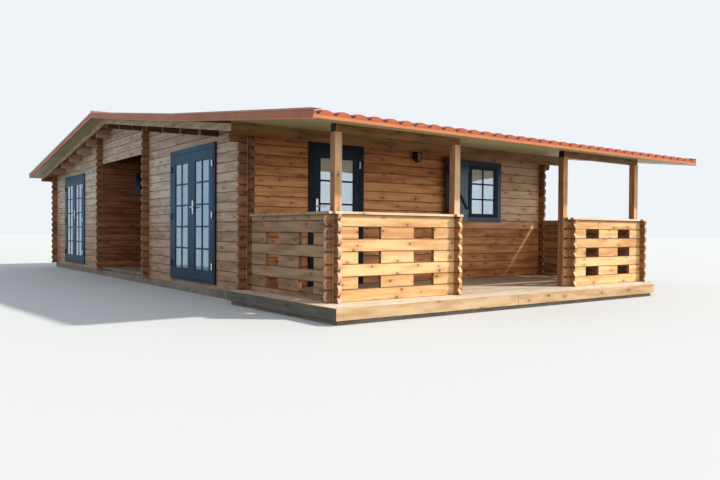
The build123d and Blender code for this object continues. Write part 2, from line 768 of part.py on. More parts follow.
# The shutter is made shut, in front of the window, and swung open about its hinge line.
# Its battens and brace are on the inner face, which looks outwards when it is open.
shutter_axis_x = window_start + shutter_axis_inset
shutter_z = floor_height + window_sill_height + (window_height - shutter_height) / 2
shutter = block(shutter_edge_gap, shutter_width, -shutter_thickness, 0, 0, shutter_height)
for height in shutter_batten_heights:
    low, high = height - shutter_batten_width / 2, height + shutter_batten_width / 2
    shutter += block(shutter_batten_inset, shutter_width - shutter_batten_inset, 0,
                     shutter_batten, low, high)
    shutter += block(0, shutter_batten_inset, -shutter_strap_thickness, 0, low, high)
    shutter += Pos(0, 0, height) * Cylinder(barrel_radius, shutter_batten_width)
brace_low, brace_high = shutter_batten_heights
brace_start = (shutter_batten_inset, brace_low + shutter_batten_width / 2)
brace_end = (shutter_width - shutter_batten_inset, brace_high - shutter_batten_width / 2)
brace_outline = [brace_start, (brace_start[0] + brace_width, brace_start[1]), brace_end,
                 (brace_end[0] - brace_width, brace_end[1])]
brace_face = make_face(Polyline([(x, 0, z) for x, z in brace_outline], close=True))
shutter += extrude(brace_face, amount=shutter_batten, dir=(0, 1, 0))
shutter_spot = Pos(shutter_axis_x, frame_face - shutter_axis_reach, shutter_z)
solids["window_shutter"] = shutter_spot * (Rot(0, 0, -shutter_open_angle) * shutter)

# Two brackets on the window's frame carry the shutter's barrels.
for height in shutter_batten_heights:
    window_frames[0] += shutter_spot * block(-barrel_radius, barrel_radius,
                                             barrel_radius + barrel_clearance, shutter_axis_reach,
                                             height - shutter_batten_width / 2,
                                             height + shutter_batten_width / 2)

# The lamp by the front door: a back plate, an arm and a lantern in one casting.
lamp_middle = lamp_start + lamp_width / 2
lamp_bottom = floor_height + lamp_sill
lamp_plate = block(lamp_middle - lamp_plate_width / 2, lamp_middle + lamp_plate_width / 2,
                   -half_log - lamp_plate_thickness, -half_log,
                   lamp_bottom + lamp_height / 4, lamp_bottom + lamp_height)
lamp_arm = block(lamp_middle - lamp_arm_width / 2, lamp_middle + lamp_arm_width / 2,
                 -half_log - lamp_reach + lamp_width / 2, -half_log,
                 lamp_bottom + lamp_height - lamp_arm_width, lamp_bottom + lamp_height)
lantern = Pos(lamp_middle, -half_log - lamp_reach + lamp_width / 2, lamp_bottom) * loft(
    [Rectangle(lamp_width / 2, lamp_width / 2),
     Pos(0, 0, lamp_body_height) * Rectangle(lamp_width, lamp_width)])
lantern_roof = Pos(lamp_middle, -half_log - lamp_reach + lamp_width / 2,
                   lamp_bottom + lamp_body_height) * loft(
    [Rectangle(lamp_width, lamp_width),
     Pos(0, 0, lamp_height - lamp_body_height) * Rectangle(lamp_tip_width, lamp_tip_width)])
solids["wall_lamp"] = lamp_plate + lamp_arm + lantern + lantern_roof

# The finished part stands centred over the origin.
centre = Pos(-(panel_start + panel_end) / 2, -(front_eave_y + rear_eave_y) / 2, 0)
for name, piece in solids.items():
    pieces = piece if isinstance(piece, list) else [piece]
    made = [one for part in pieces for one in part.solids()]
    placed = [centre * one for one in made]
    whole = placed[0] if len(placed) == 1 else Compound(children=placed)
    export_step(whole, f"parts/{name}.step")
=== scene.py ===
import json
from math import ceil, cos, pi, radians, sin, tan

import bmesh
import bpy
import numpy as np
from mathutils import Matrix, Vector


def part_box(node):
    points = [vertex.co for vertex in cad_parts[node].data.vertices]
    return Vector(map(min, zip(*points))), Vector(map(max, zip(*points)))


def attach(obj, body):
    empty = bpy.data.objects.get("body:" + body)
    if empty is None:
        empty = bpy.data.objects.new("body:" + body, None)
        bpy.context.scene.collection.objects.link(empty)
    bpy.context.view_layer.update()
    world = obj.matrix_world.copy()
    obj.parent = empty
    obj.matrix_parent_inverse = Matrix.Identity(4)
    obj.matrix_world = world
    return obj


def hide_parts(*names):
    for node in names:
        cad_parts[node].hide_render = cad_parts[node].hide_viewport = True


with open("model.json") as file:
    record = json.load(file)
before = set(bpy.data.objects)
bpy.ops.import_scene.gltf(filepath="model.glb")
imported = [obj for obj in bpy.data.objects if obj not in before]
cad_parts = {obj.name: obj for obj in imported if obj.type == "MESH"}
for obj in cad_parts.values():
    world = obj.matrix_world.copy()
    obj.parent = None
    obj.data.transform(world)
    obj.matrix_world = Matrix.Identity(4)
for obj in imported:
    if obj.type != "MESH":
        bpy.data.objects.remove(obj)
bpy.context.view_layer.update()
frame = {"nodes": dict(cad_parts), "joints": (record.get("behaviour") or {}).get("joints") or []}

# A log cabin with a recessed side porch and a covered veranda. All lengths are in metres.
# X runs along the veranda's front, Y from the veranda to the rear, Z up from the ground.

# Logs
log_height = 0.133
half_log = 0.022
railing_end_run = 0.115
log_knots = 0.55

# Roof
main_pitch = 8.0
veranda_pitch = 6.8
flashing_lip = 0.004
tile_pitch = 0.200
tile_rise = 0.038
tile_wave = 0.027
tile_course = 0.350
tile_step = 0.012
tile_samples = 12
tile_inset = 0.006
tile_foot = 0.014
eave_lap = 0.002
sheet_lap = 0.030
crease_angle = 35.0
closure_start = 0.12
closure_span = 0.36
closure_drop = 0.006
closure_depth = 0.012
closure_height = 0.017
ridge_cap_length = 0.95
roll_radius = 0.036
roll_rise = 0.030
roll_foot = 0.052
cap_gap = 0.010
cap_overhang = 0.002
cap_thickness = 0.004
verge_screw_step = 0.5
verge_screw_drop = 0.050
verge_lining = 0.052

# Boards
deck_boards = 19
deck_joists = 11
porch_boards = 12
porch_board_depth = 0.028
board_gap = 0.005
board_edge = 0.003
deck_corner = (0.520, 0.350)
corner_gap = 0.023
screw_inset = 0.022
joist_inset = 0.060
corner_clearance = 0.020

# Glazing bars and beads
bar_width = 0.024
bar_proud = 0.009
bead_width = 0.014
bead_proud = 0.008
glazing_edge = 0.002
tall_pane = 0.5

# Door and shutter fittings
hinge_radius = 0.0112
hinge_neck = 0.0104
hinge_tip = 0.006
barrel_radius = 0.010
barrel_length = 0.090
barrel_margin = 0.160
screw_radius = 0.005
plate_width = 0.036
plate_height = 0.200
plate_thickness = 0.008
lever_bend = 0.020
lever_reach = 0.048
lever_length = 0.112
lever_radius = 0.0095
keyhole_drop = 0.062
keyhole_radius = 0.009

# Shutter, in its own frame: X from the hinge line along the leaf, Y through it, Z up from its foot
shutter_start = 0.016
shutter_width = 0.560
shutter_height = 0.985
shutter_thickness = 0.022
shutter_boards = 6
shutter_inset = 0.025
batten_low = 0.150
batten_high = 0.835
batten_width = 0.090
brace_width = 0.045
shutter_angle = 174.0

# Beam shoes and lamp
shoe_thickness = 0.008
shoe_height = 0.085
shoe_inset = 0.004
lamp_rise = 0.133
lamp_bar = 0.006

# Camera and light
focal_px = 677.2
frame_px = 720.0
sensor_width = 36.0
camera_place = (-6.957, -11.829, 0.922)
camera_yaw = 36.63
camera_pitch = -0.754
camera_roll = 0.345
sun_azimuth = 50.0
sun_elevation = 41.5
sun_spread = 2.5
sun_strength = 3.9
sky_strength = 0.66
fill_azimuth = 5.0
fill_elevation = 9.0
fill_spread = 50.0
fill_strength = 0.75
floor_reach = 120.0


def low(node):
    """The low corner of a node's box."""
    return np.array(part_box(node)[0])


def high(node):
    """The high corner of a node's box."""
    return np.array(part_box(node)[1])


def middle(node):
    """The middle of a node's box."""
    return (low(node) + high(node)) / 2


# Planes of the building, read from the frame
left_x, right_x = middle("left_wall")[0], middle("right_wall")[0]
front_y, rear_y = low("cabin_floor")[1], middle("rear_wall")[1]
ridge_y = middle("ridge_cap")[1]
floor_z = high("veranda_deck")[2]
near_wall_y, far_wall_y = low("porch_floor")[1] - half_log, high("porch_floor")[1] + half_log
porch_back_x = middle("porch_back_wall")[0]
railing_y = middle("railing_front_left")[1]
bay_left = high("railing_front_left")[0] - railing_end_run
bay_right = low("railing_front_right")[0] + railing_end_run


# Shader trees
class Maker:
    """Adds nodes to one tree. What a node is given is a plain value or another node's output."""

    def __init__(self, tree):
        self.tree = tree

    def add(self, kind, values=None, **settings):
        """A shader node with its settings. The keys of the values name or number its inputs."""
        node = self.tree.nodes.new("ShaderNode" + kind)
        for key, setting in settings.items():
            setattr(node, key, setting)
        for key, value in (values or {}).items():
            if isinstance(value, bpy.types.NodeSocket):
                self.tree.links.new(value, node.inputs[key])
            else:
                node.inputs[key].default_value = value
        return node

    def math(self, operation, first, second=0.0, third=0.0):
        """One operation on up to three numbers."""
        return self.add("Math", {0: first, 1: second, 2: third}, operation=operation).outputs[0]

    def times(self, first, second):
        """The product of two numbers."""
        return self.math("MULTIPLY", first, second)

    def scaled(self, value, factor, shift):
        """The value times the factor, plus the shift."""
        return self.math("MULTIPLY_ADD", value, factor, shift)

    def ease(self, value, start, end, before=0.0, after=1.0):
        """A smooth step of value, from before to after, between start and end."""
        return self.add("MapRange", {"Value": value, "From Min": start, "From Max": end,
                                     "To Min": before, "To Max": after},
                        interpolation_type="SMOOTHSTEP").outputs["Result"]

    def outside(self, value, ends, start, stop):
        """A smooth step from 0 to 1 between two distances outside a pair of ends."""
        return self.math("MAXIMUM", self.ease(value, ends[0] - stop, ends[0] - start, 1.0, 0.0),
                         self.ease(value, ends[1] + start, ends[1] + stop))

    def steps(self, value, start, size, seed):
        """The value from the start in steps of that size, and the number of its step from the seed."""
        run = self.math("DIVIDE", self.math("SUBTRACT", value, start), size)
        return run, self.math("ADD", self.math("FLOOR", run), seed)

    def mix(self, factor, first, second, blend="MIX"):
        """The first colour, blended with the second by the factor."""
        return self.add("Mix", {0: factor, 6: first, 7: second}, data_type="RGBA",
                        blend_type=blend).outputs[2]

    def darken(self, factor, colour, by):
        """The colour, multiplied by another one as far as the factor says."""
        return self.mix(factor, colour, by, "MULTIPLY")

    def mix_pair(self, factor, first, second):
        """A light and a dark colour, each mixed with its partner by the same factor."""
        return [self.mix(factor, *both) for both in zip(first, second)]

    def join(self, x=0.0, y=0.0, z=0.0):
        """A vector of three numbers."""
        return self.add("CombineXYZ", {0: x, 1: y, 2: z}).outputs[0]

    def split(self, vector):
        """The three numbers of a vector."""
        return self.add("SeparateXYZ", {0: vector}).outputs

    def noise(self, vector, scale=1.0, detail=2.0, roughness=0.5):
        """Smooth noise from 0 to 1, with that many finer octaves added."""
        return self.add("TexNoise", {"Vector": vector, "Scale": scale, "Detail": detail,
                                     "Roughness": roughness}).outputs[0]

    def noise_over(self, parts, factors, detail=2.0):
        """Noise at the point whose numbers are the parts, each times its factor."""
        point = self.join(*(self.times(part, factor) for part, factor in zip(parts, factors)))
        return self.noise(point, detail=detail)

    def chance(self, value):
        """Three steady random numbers for each value."""
        return self.split(self.add("TexWhiteNoise", {"W": value}, noise_dimensions="1D").outputs[1])

    def use(self, tree, values):
        """The outputs of a node group."""
        return self.add("Group", values, node_tree=tree).outputs

    def stained(self, place, size, amount, face):
        """The first colour of the face, with patches of the second, and the masks of the stains."""
        masks = self.use(weather, {"Place": place, "Size": size, "Amount": amount})
        return self.mix(masks["Patches"], *face), masks

    def wood(self, along, up, across, piece, face, knots):
        """Timber at a place along, up and across a piece of that number, in the face's colours."""
        return self.use(timber, {"Along": along, "Up": up, "Across": across, "Piece": piece,
                                 "Light": face[0], "Dark": face[1], "Knots": knots})

    def surface(self, colour, roughness, height=None, depth=0.001, plain=None):
        """A Principled surface. Height becomes a bump of that depth, and plain holds set values."""
        values = {"Base Color": colour, "Roughness": roughness, **(plain or {})}
        if height is not None:
            values["Normal"] = self.add("Bump", {"Height": height, "Distance": depth}).outputs[0]
        shader = self.add("BsdfPrincipled", values)
        self.add("OutputMaterial", {"Surface": shader.outputs[0]})


def effect(name, inputs, outputs):
    """An empty node group whose sockets are named by kind: its tree, its maker, what it is given and
    what it gives."""
    tree = bpy.data.node_groups.new(name, "ShaderNodeTree")
    for way, sockets in (("INPUT", inputs), ("OUTPUT", outputs)):
        for kind, labels in sockets.items():
            for label in labels.split():
                tree.interface.new_socket(label, in_out=way, socket_type="NodeSocket" + kind)
    given = tree.nodes.new("NodeGroupInput").outputs
    return tree, Maker(tree), given, tree.nodes.new("NodeGroupOutput").inputs


def material(name, nodes=""):
    """An empty material on the slots of the nodes named, its maker, and outputs for each point's
    place and normal in the object's own coordinates."""
    made = bpy.data.materials.new(name)
    made.use_nodes = True
    made.node_tree.nodes.clear()
    for node in nodes.split():
        for place in frame["nodes"][node].material_slots:
            place.material = made
    make = Maker(made.node_tree)
    coordinates = make.add("TexCoord").outputs
    return made, make, coordinates["Object"], coordinates["Normal"]


def tint(red, green, blue):
    """A colour judged on a screen's 0 to 255 scale, as the linear values that shaders take."""
    scaled = (np.array([red, green, blue]) / 255 + 0.055) / 1.055
    return (*(scaled ** 2.4), 1.0)


def shades(*levels):
    """A light and a dark colour of three levels each."""
    return tint(*levels[:3]), tint(*levels[3:])


def timber_effect():
    """Planed softwood. Growth rings are a sine of the height over the board, bent by slow noise and
    lifted round each knot. A knot is a disc round a random point of a stretched cell pattern."""
    tree, make, given, gives = effect(
        "timber", {"Float": "Along Up Across Piece Knots", "Color": "Light Dark"},
        {"Color": "Color", "Float": "Roughness Height"})
    knot_spacing, knot_band = 0.36, 0.100
    piece = given["Piece"]
    luck = make.chance(piece)
    along = make.scaled(luck[0], 37.0, given["Along"])
    up = make.scaled(luck[1], 5.0, given["Up"])
    spot = make.join(make.math("DIVIDE", along, knot_spacing), make.math("DIVIDE", up, knot_band))
    cells = make.add("TexVoronoi", {"Vector": spot, "Scale": 1.0, "Randomness": 0.7},
                     voronoi_dimensions="2D").outputs
    away = make.add("VectorMath", {0: spot, 1: cells["Position"]}, operation="SUBTRACT").outputs[0]
    fate = make.split(cells["Color"])
    size = make.scaled(fate[1], 0.011, 0.009)
    present = make.math("GREATER_THAN", given["Knots"], fate[0])

    def round_knot(stretch, start, end):
        """A smooth fall from 1 to 0 between two distances in knot radii, drawn out along the grain."""
        drawn = make.add("VectorMath", {0: away, 1: (knot_spacing / stretch, knot_band, 0.0)},
                         operation="MULTIPLY").outputs[0]
        length = make.add("VectorMath", {0: drawn}, operation="LENGTH").outputs["Value"]
        return make.times(present, make.ease(make.math("DIVIDE", length, size), start, end, 1.0, 0.0))

    knot = round_knot(1.25, 0.7, 1.15)
    halo = round_knot(3.0, 0.5, 2.8)
    slow = make.noise_over((along, up, piece), (1.1, 8.0, 3.1), 3.0)
    turns = make.scaled(halo, 1.8, make.scaled(up, 95.0, make.times(slow, 7.0)))
    wave = make.math("SINE", make.times(turns, 2 * pi))
    ring = make.math("POWER", make.scaled(wave, 0.5, 0.5), 2.2)
    fibre = make.noise_over((along, up, given["Across"]), (12.0, 380.0, 380.0))
    patch = make.noise_over((along, up, piece), (1.7, 13.0, 1.0), 3.0)
    tone = make.scaled(luck[2], 0.62, make.scaled(ring, 0.30, make.times(fibre, 0.25)))
    tone = make.math("ADD", tone, make.ease(patch, 0.38, 0.66, -0.36, 0.36))
    colour = make.mix(make.math("MINIMUM", make.math("MAXIMUM", tone, 0.0), 1.0),
                      given["Light"], given["Dark"])
    colour = make.darken(make.times(halo, 0.55), colour, (0.66, 0.52, 0.42, 1.0))
    colour = make.darken(make.times(knot, 0.8), colour, (0.30, 0.19, 0.13, 1.0))
    height = make.scaled(knot, -0.3, make.scaled(ring, -0.3, make.times(fibre, 0.35)))
    tree.links.new(colour, gives["Color"])
    tree.links.new(make.scaled(fibre, 0.2, 0.5), gives["Roughness"])
    tree.links.new(height, gives["Height"])
    return tree


def weather_effect():
    """Stains: a mask from two sizes of noise, and another that runs down the surface in streaks."""
    tree, make, given, gives = effect("weather", {"Vector": "Place", "Float": "Size Amount"},
                                      {"Float": "Patches Streaks"})
    place = make.add("VectorMath", {0: given["Place"], 1: given["Size"]}, operation="DIVIDE").outputs[0]
    broad, fine = make.noise(place, 1.0, 5.0, 0.6), make.noise(place, 7.0, 4.0, 0.6)
    both = make.scaled(fine, 0.4, make.times(broad, 0.6))
    streaks = make.noise_over(make.split(place), (9.0, 9.0, 1.0), 3.0)
    tree.links.new(make.times(make.ease(both, 0.42, 0.62), given["Amount"]), gives["Patches"])
    tree.links.new(make.times(make.ease(streaks, 0.45, 0.7), given["Amount"]), gives["Streaks"])
    return tree


timber = timber_effect()
weather = weather_effect()


# Materials. Each is put on the slots of the nodes named. A face is its light and its dark colour.
def log_material(name, nodes, lengthwise, face, ends, seed, stain=None, weathered=None, painted_light=None,
                 cut=None, shade_heights=None, shade_colour=(0.30, 0.32, 0.42, 1.0)):
    """Machined logs: one board of timber a course, a dark line along each V joint, stained ends past
    the crossings with painted shade between them, and growth rings on the end grain. Weathered colours
    show on the outer face, painted light colours on the part of the front that takes light bounced from
    the sunlit deck, and cut ones on the end grain. Shade heights give the two heights between which the
    logs right of the left wall take the shade colour, a painted shade as under a roof or a cap. Logs
    along Y lie half a course higher than those along X."""
    made, make, place, normal = material(name, nodes)
    at, normal = make.split(place), make.split(normal)
    way = "XY".index(lengthwise)
    along, across, faces_end, faces_out = at[way], at[1 - way], normal[way], normal[1 - way]
    stain = stain or pine_stain
    course, piece = make.steps(at[2], floor_z + way * log_height / 2, log_height, seed)
    from_joint = make.times(make.math("PINGPONG", course, 0.5), log_height)
    past = make.outside(along, ends, 0.0, 0.012)
    if weathered:
        aged = make.times(make.ease(faces_out, -0.8, -0.3, 1.0, 0.0),
                          make.ease(at[2], 0.15, 1.9, 0.2, 1.0))
        face = make.mix_pair(make.times(aged, make.ease(along, -3.4, 0.5, 0.75, 1.0)), face, weathered)
    # Painted light: paler colours towards the right end of the front, where light bounced from the
    # sunlit deck reaches it.
    if painted_light:
        painted_light_share = make.times(make.ease(along, 0.5, 1.9), make.ease(at[2], 0.92, 1.2))
        face = make.mix_pair(painted_light_share, face, painted_light)
    face = make.mix_pair(past, face, stain)
    wood = make.wood(along, at[2], across, piece, face, log_knots)
    pith = make.scaled(make.chance(piece)[0], 0.09, -0.06)
    inside = make.scaled(make.math("FRACT", course), log_height, pith)
    radius = make.math("SQRT", make.scaled(inside, inside, make.times(across, across)))
    rings = make.scaled(make.math("SINE", make.times(radius, 1400.0)), 0.5, 0.5)
    faint = make.times(rings, 0.45)
    grain = make.mix(faint, *stain)
    if cut:
        grain = make.mix(make.outside(along, ends, 0.065, 0.085), grain, make.mix(faint, *cut))
    end_grain = make.ease(make.math("ABSOLUTE", faces_end), 0.45, 0.8)
    colour = make.mix(end_grain, wood["Color"], grain)
    groove = make.ease(from_joint, 0.003, 0.0105, 0.86, 0.0)
    # Painted shade: darker near the joints on the log ends past the crossings and on the end grain,
    # where shade falls between the rounded ends.
    end_shade = make.times(make.math("MAXIMUM", past, end_grain),
                        make.ease(from_joint, 0.003, 0.022, 0.58, 0.0))
    colour = make.darken(make.math("MAXIMUM", groove, end_shade), colour, (0.22, 0.15, 0.10, 1.0))
    # Painted shade: between the shade heights, the logs right of the left wall darken towards the shade
    # colour.
    if shade_heights:
        right_of_left_wall = make.math("GREATER_THAN", at[0], left_x + 0.06)
        colour = make.darken(make.times(right_of_left_wall, make.ease(at[2], *shade_heights)), colour, shade_colour)
    make.surface(colour, wood["Roughness"], wood["Height"], 0.0015)


def board_material(name, nodes, lengthwise, face, board=0.0, start=0.0, knots=0.4, seed=0.0,
                   wraps=False, sides=None, length=0.0, lit_past_ridge=None):
    """Sawn boards along one axis. Board is their pitch across, or 0 for one piece a node, and length
    is how far they run between joints, if they have any. Boards that wrap run along Y on the faces
    square to X. Sides are two colours, painted light on some boards and painted shade on others, and
    the number of the axis that the faces in those colours are square to. Lit past ridge holds the paler
    colours past the ridge, painted light."""
    made, make, place, normal = material(name, nodes)
    at, normal = make.split(place), make.split(normal)
    order = {"X": (0, 2, 1), "Y": (1, 2, 0), "Z": (2, 1, 0)}[lengthwise]
    along, up, across = (at[n] for n in order)

    def square_to(axis):
        """1 on the faces square to an axis, and 0 on the others."""
        return make.math("GREATER_THAN", make.math("ABSOLUTE", normal[axis]), 0.8)

    if wraps:
        along = make.add("Mix", {0: square_to(0), 2: at[0], 3: at[1]}, data_type="FLOAT").outputs[0]
    # Painted light and shade: the faces square to the sides' axis take a lit or shaded copy of the
    # colours.
    if sides:
        face = make.mix_pair(square_to(sides[2]), face, sides[:2])
    # Painted light: paler colours past the ridge.
    if lit_past_ridge:
        face = make.mix_pair(make.math("GREATER_THAN", at[1], ridge_y), face, lit_past_ridge)
    piece = seed
    if board or length:
        run, piece = make.steps(along if length else across, start, length or board, seed)
    spread = up if wraps else make.math("ADD", up, across)
    wood = make.wood(along, spread, across, piece, face, knots)
    colour = wood["Color"]
    if length:
        from_end = make.times(make.math("PINGPONG", run, 0.5), length)
        colour = make.darken(make.ease(from_end, 0.0015, 0.004, 0.85, 0.0), colour,
                             (0.20, 0.14, 0.10, 1.0))
    make.surface(colour, wood["Roughness"], wood["Height"], 0.0012)
    return made


def coated_material(name, nodes, face, roughness):
    """A coated or painted sheet with faint dirt in patches and streaks."""
    made, make, place, _ = material(name, nodes)
    tone, dirt = make.stained(place, 0.9, 0.45, face)
    tone = make.mix(make.times(dirt["Streaks"], 0.5), tone, face[1])
    rough = make.scaled(dirt["Patches"], 0.15, roughness)
    make.surface(tone, rough, make.noise(place, 260.0), 0.0003)
    return made


def paint_material(name, nodes, face, nearer_shade_colour=None, fade=None, shade_heights=None):
    """Brushed paint on wood: fine strokes up the piece, wear in patches, and darker near the ground.
    Nearer shade colour is a painted shade on what stands nearer to the front than the near pair of
    doors. Fade gives a start and an end along X between which the paint takes over from a third value,
    a colour. Shade heights give two heights between which it darkens, as painted shade."""
    made, make, place, _ = material(name, nodes)
    at = make.split(place)
    strokes = make.noise_over(at, (420.0, 420.0, 14.0), 3.0)
    # Painted shade on what stands nearer to the front than the near pair of doors.
    if nearer_shade_colour:
        nearer = make.math("LESS_THAN", at[1], low("near_pair_right_leaf")[1] - 0.001)
        face = make.mix_pair(nearer, face, (nearer_shade_colour, nearer_shade_colour))
    tone, _ = make.stained(place, 0.35, 0.6, face)
    tone = make.mix(make.times(strokes, 0.25), tone, face[1])
    tone = make.mix(make.ease(at[2], 0.1, 1.3, 0.62, 0.0), tone, tint(12, 22, 30))
    if fade:
        tone = make.mix(make.ease(at[0], *fade[:2], 1.0, 0.0), tone, fade[2])
    # Painted shade between the shade heights.
    if shade_heights:
        tone = make.mix(make.ease(at[2], *shade_heights, 0.0, 0.75), tone, tint(26, 24, 30))
    make.surface(tone, make.scaled(strokes, 0.2, 0.42), strokes, 0.0004, {"Specular IOR Level": 0.2})
    return made


def concrete_material(name, nodes, face):
    """Cast concrete: stained patches, and a fine grit that darkens and roughens it."""
    made, make, place, _ = material(name, nodes)
    tone, _ = make.stained(place, 0.5, 0.8, face)
    grit = make.noise(place, 190.0, 4.0, 0.7)
    tone = make.mix(make.ease(grit, 0.35, 0.65, 0.0, 0.35), tone, face[1])
    make.surface(tone, 0.9, grit, 0.003)


def glass_material(name, nodes, colour, mirror):
    """Coated double glazing: clear, with a mirror share and faint smears."""
    made, make, place, _ = material(name, nodes)
    rough = make.ease(make.noise(place, 14.0, 3.0), 0.3, 0.8, 0.01, 0.05)
    make.surface(colour, rough, make.noise(place, 2.0, 1.0), 0.002,
                 {"Metallic": mirror, "Transmission Weight": 0.92, "IOR": 1.5})


def soffit_material(name, nodes, face):
    """Cream lining sheets a metre wide, with a dark line at each joint and faint stains."""
    made, make, place, _ = material(name, nodes)
    tone, _ = make.stained(place, 1.1, 0.5, face)
    edge = make.math("PINGPONG", make.math("ADD", make.split(place)[0], 100.0), 0.5)
    tone = make.darken(make.ease(edge, 0.002, 0.005, 0.7, 0.0), tone, (0.2, 0.18, 0.13, 1.0))
    grain = make.noise(place, 120.0, 3.0)
    make.surface(tone, make.scaled(grain, 0.1, 0.5), grain, 0.0004)


def tile_material(name, face):
    """Coated tile sheet with faint dirt in patches and streaks, paler on the crests and darker in the
    troughs as painted shade.
    """
    made, make, place, _ = material(name)
    tone, dirt = make.stained(place, 0.5, 0.35, face)
    depth = make.add("Attribute", attribute_name="depth").outputs["Fac"]
    # Painted shade: darker with the depth under the crest, in the troughs.
    tone = make.mix(make.ease(depth, 0.1, 0.9, 0.0, 0.75), tone, face[1])
    make.surface(tone, make.scaled(dirt["Streaks"], 0.2, 0.45), make.noise(place, 420.0), 0.0006)
    return made


def metal_material(name, nodes, colour):
    """Bare metal whose roughness and surface vary a little with one noise."""
    made, make, place, _ = material(name, nodes)
    smear = make.noise(place, 60.0, 4.0)
    make.surface(colour, make.scaled(smear, 0.25, 0.25), smear, 0.0002, {"Metallic": 1.0})
    return made


# Finishes of the logs
pine_face = shades(230, 166, 108, 172, 108, 62)
pine_stain = shades(172, 120, 78, 114, 72, 42)
pine_bright = shades(247, 206, 145, 210, 150, 91)
cut_pine = shades(226, 184, 138, 186, 142, 100)
porch_pine = shades(176, 112, 68, 122, 70, 38)
wall_ends_x = (left_x - half_log, right_x + half_log)
wall_ends_y = (front_y, rear_y + half_log)
# Heights between which the porch's logs darken as painted shade under its ceiling.
porch_shade_heights = (2.26, 2.36)
cap_foot = low("railing_caps")[2]
# Painted shadow under the railing caps: the top course darkens just below each cap.
under_cap = {"cut": cut_pine, "shade_heights": (cap_foot - 0.034, cap_foot - 0.020),
             "shade_colour": (0.66, 0.62, 0.54, 1.0)}
# The front logs darken between 1.45 and 2.0 m as painted shade under the veranda roof, and take paler
# painted light colours where light bounced from the sunlit deck reaches them.
log_material("front_logs", "front_wall front_wall_top", "X", shades(244, 178, 118, 186, 118, 70),
             wall_ends_x, 3.0, painted_light=shades(254, 224, 192, 226, 182, 146), shade_heights=(1.45, 2.0),
             shade_colour=(0.76, 0.72, 0.64, 1.0))
log_material("rear_logs", "rear_wall", "X", pine_face, wall_ends_x, 47.0)
log_material("porch_logs", "porch_side_walls", "X", porch_pine,
             (left_x - half_log, porch_back_x + half_log), 91.0, shade_heights=porch_shade_heights)
# The left wall's logs take a darker stain on their ends: stain, and painted shade where the corner
# stands in shade.
log_material("left_logs", "left_wall left_wall_gable", "Y", shades(184, 138, 94, 134, 90, 56),
             wall_ends_y, 135.0, shades(136, 94, 60, 88, 56, 32), shades(240, 222, 202, 194, 170, 146))
log_material("right_logs", "right_wall", "Y", pine_face, wall_ends_y, 179.0)
log_material("back_logs", "porch_back_wall", "Y", porch_pine,
             (near_wall_y - half_log, far_wall_y + half_log), 223.0, shade_heights=porch_shade_heights)
# The front railings take bright colours as painted light on their sunlit fronts, and the side railings
# darker ones as painted shade on their shaded faces.
log_material("rail_left_logs", "railing_front_left", "X", pine_bright,
             (left_x - half_log, bay_left + half_log), 311.0, **under_cap)
log_material("rail_right_logs", "railing_front_right", "X", pine_bright,
             (bay_right - half_log, right_x + half_log), 353.0, **under_cap)
log_material("rail_side_logs", "railing_left railing_right", "Y", shades(188, 152, 112, 134, 96, 62),
             (railing_y - half_log, front_y), 397.0, cut=cut_pine)


def board_pitch(node, count):
    """The step from board to board along Y when that many boards and their gaps fill a node."""
    return (high(node)[1] - low(node)[1] + board_gap) / count


# Finishes of the boards and beams
beam_wood = shades(168, 124, 74, 118, 80, 44)
deck_pitch = board_pitch("veranda_deck", deck_boards)
deck_finish = board_material("deck_wood", "veranda_deck porch_floor", "X",
                             shades(226, 210, 190, 188, 166, 142), deck_pitch,
                             low("veranda_deck")[1] - board_gap / 2, 0.25, 11.0)
porch_floor_finish = board_material("porch_floor_wood", "", "X", shades(150, 138, 124, 114, 100, 86),
                                    0.1, knots=0.3, seed=41.0)
# The fascia's faces square to X take darker, greener colours as painted shade on the deck's shaded left
# side.
fascia_finish = board_material("fascia_wood", "deck_fascia", "X", shades(224, 192, 146, 190, 146, 98),
                               start=-0.6, seed=5.0, wraps=True, length=3.0,
                               sides=(*shades(122, 114, 100, 84, 78, 68), 0))
board_material("beam_wood", "veranda_beams", "X", beam_wood, knots=0.45, seed=8.0)
# The purlins' dark colours are painted shade under the overhang of the front slope, and the paler ones
# past the ridge are painted light.
board_material("purlin_wood", "purlins", "X", shades(116, 80, 60, 74, 48, 34), 0.9, seed=9.0,
               lit_past_ridge=shades(226, 186, 162, 178, 138, 114))
# The caps' faces square to Y are pale as painted light where the sun strikes their fronts, and the rest
# are brown as painted shade on their shaded sides.
board_material("cap_wood", "railing_caps", "X", shades(212, 174, 138, 168, 130, 98), knots=0.2,
               seed=21.0, sides=(*shades(255, 228, 198, 236, 194, 156), 1))
# The posts' faces square to X take darker colours as painted shade on their shaded left faces.
board_material("post_wood", "veranda_posts", "Z", shades(244, 204, 158, 202, 150, 102), 0.9, knots=0.3,
               seed=14.0, sides=(*shades(206, 148, 104, 148, 98, 64), 0))
board_material("barge_wood", "barge_boards", "Y", shades(228, 208, 184, 182, 156, 130), seed=17.0)
board_material("eave_wood", "eave_boards", "X", beam_wood, seed=26.0)
board_material("roof_board_wood", "roof_boards", "X", beam_wood, 0.1, seed=31.0)
board_material("floor_wood", "cabin_floor", "Y", shades(176, 148, 118, 130, 104, 80), 0.12, knots=0.3,
               seed=37.0)

# Finishes of the roof, the joinery, the fittings and the ground works
# Heights between which the window's frame and shutter darken as painted shade under the veranda roof.
window_shade_heights = (1.78, 2.02)
free_edge = low("window_shutter")[0]
tile_finish = tile_material("tile_coating", shades(192, 92, 50, 136, 60, 36))
flashing_finish = coated_material("flashing_coating", "verge_flashings ridge_cap",
                                  shades(178, 100, 70, 146, 78, 56), 0.5)
lip_finish = coated_material("eave_coating", "eave_flashings", shades(214, 128, 76, 190, 106, 62), 0.5)
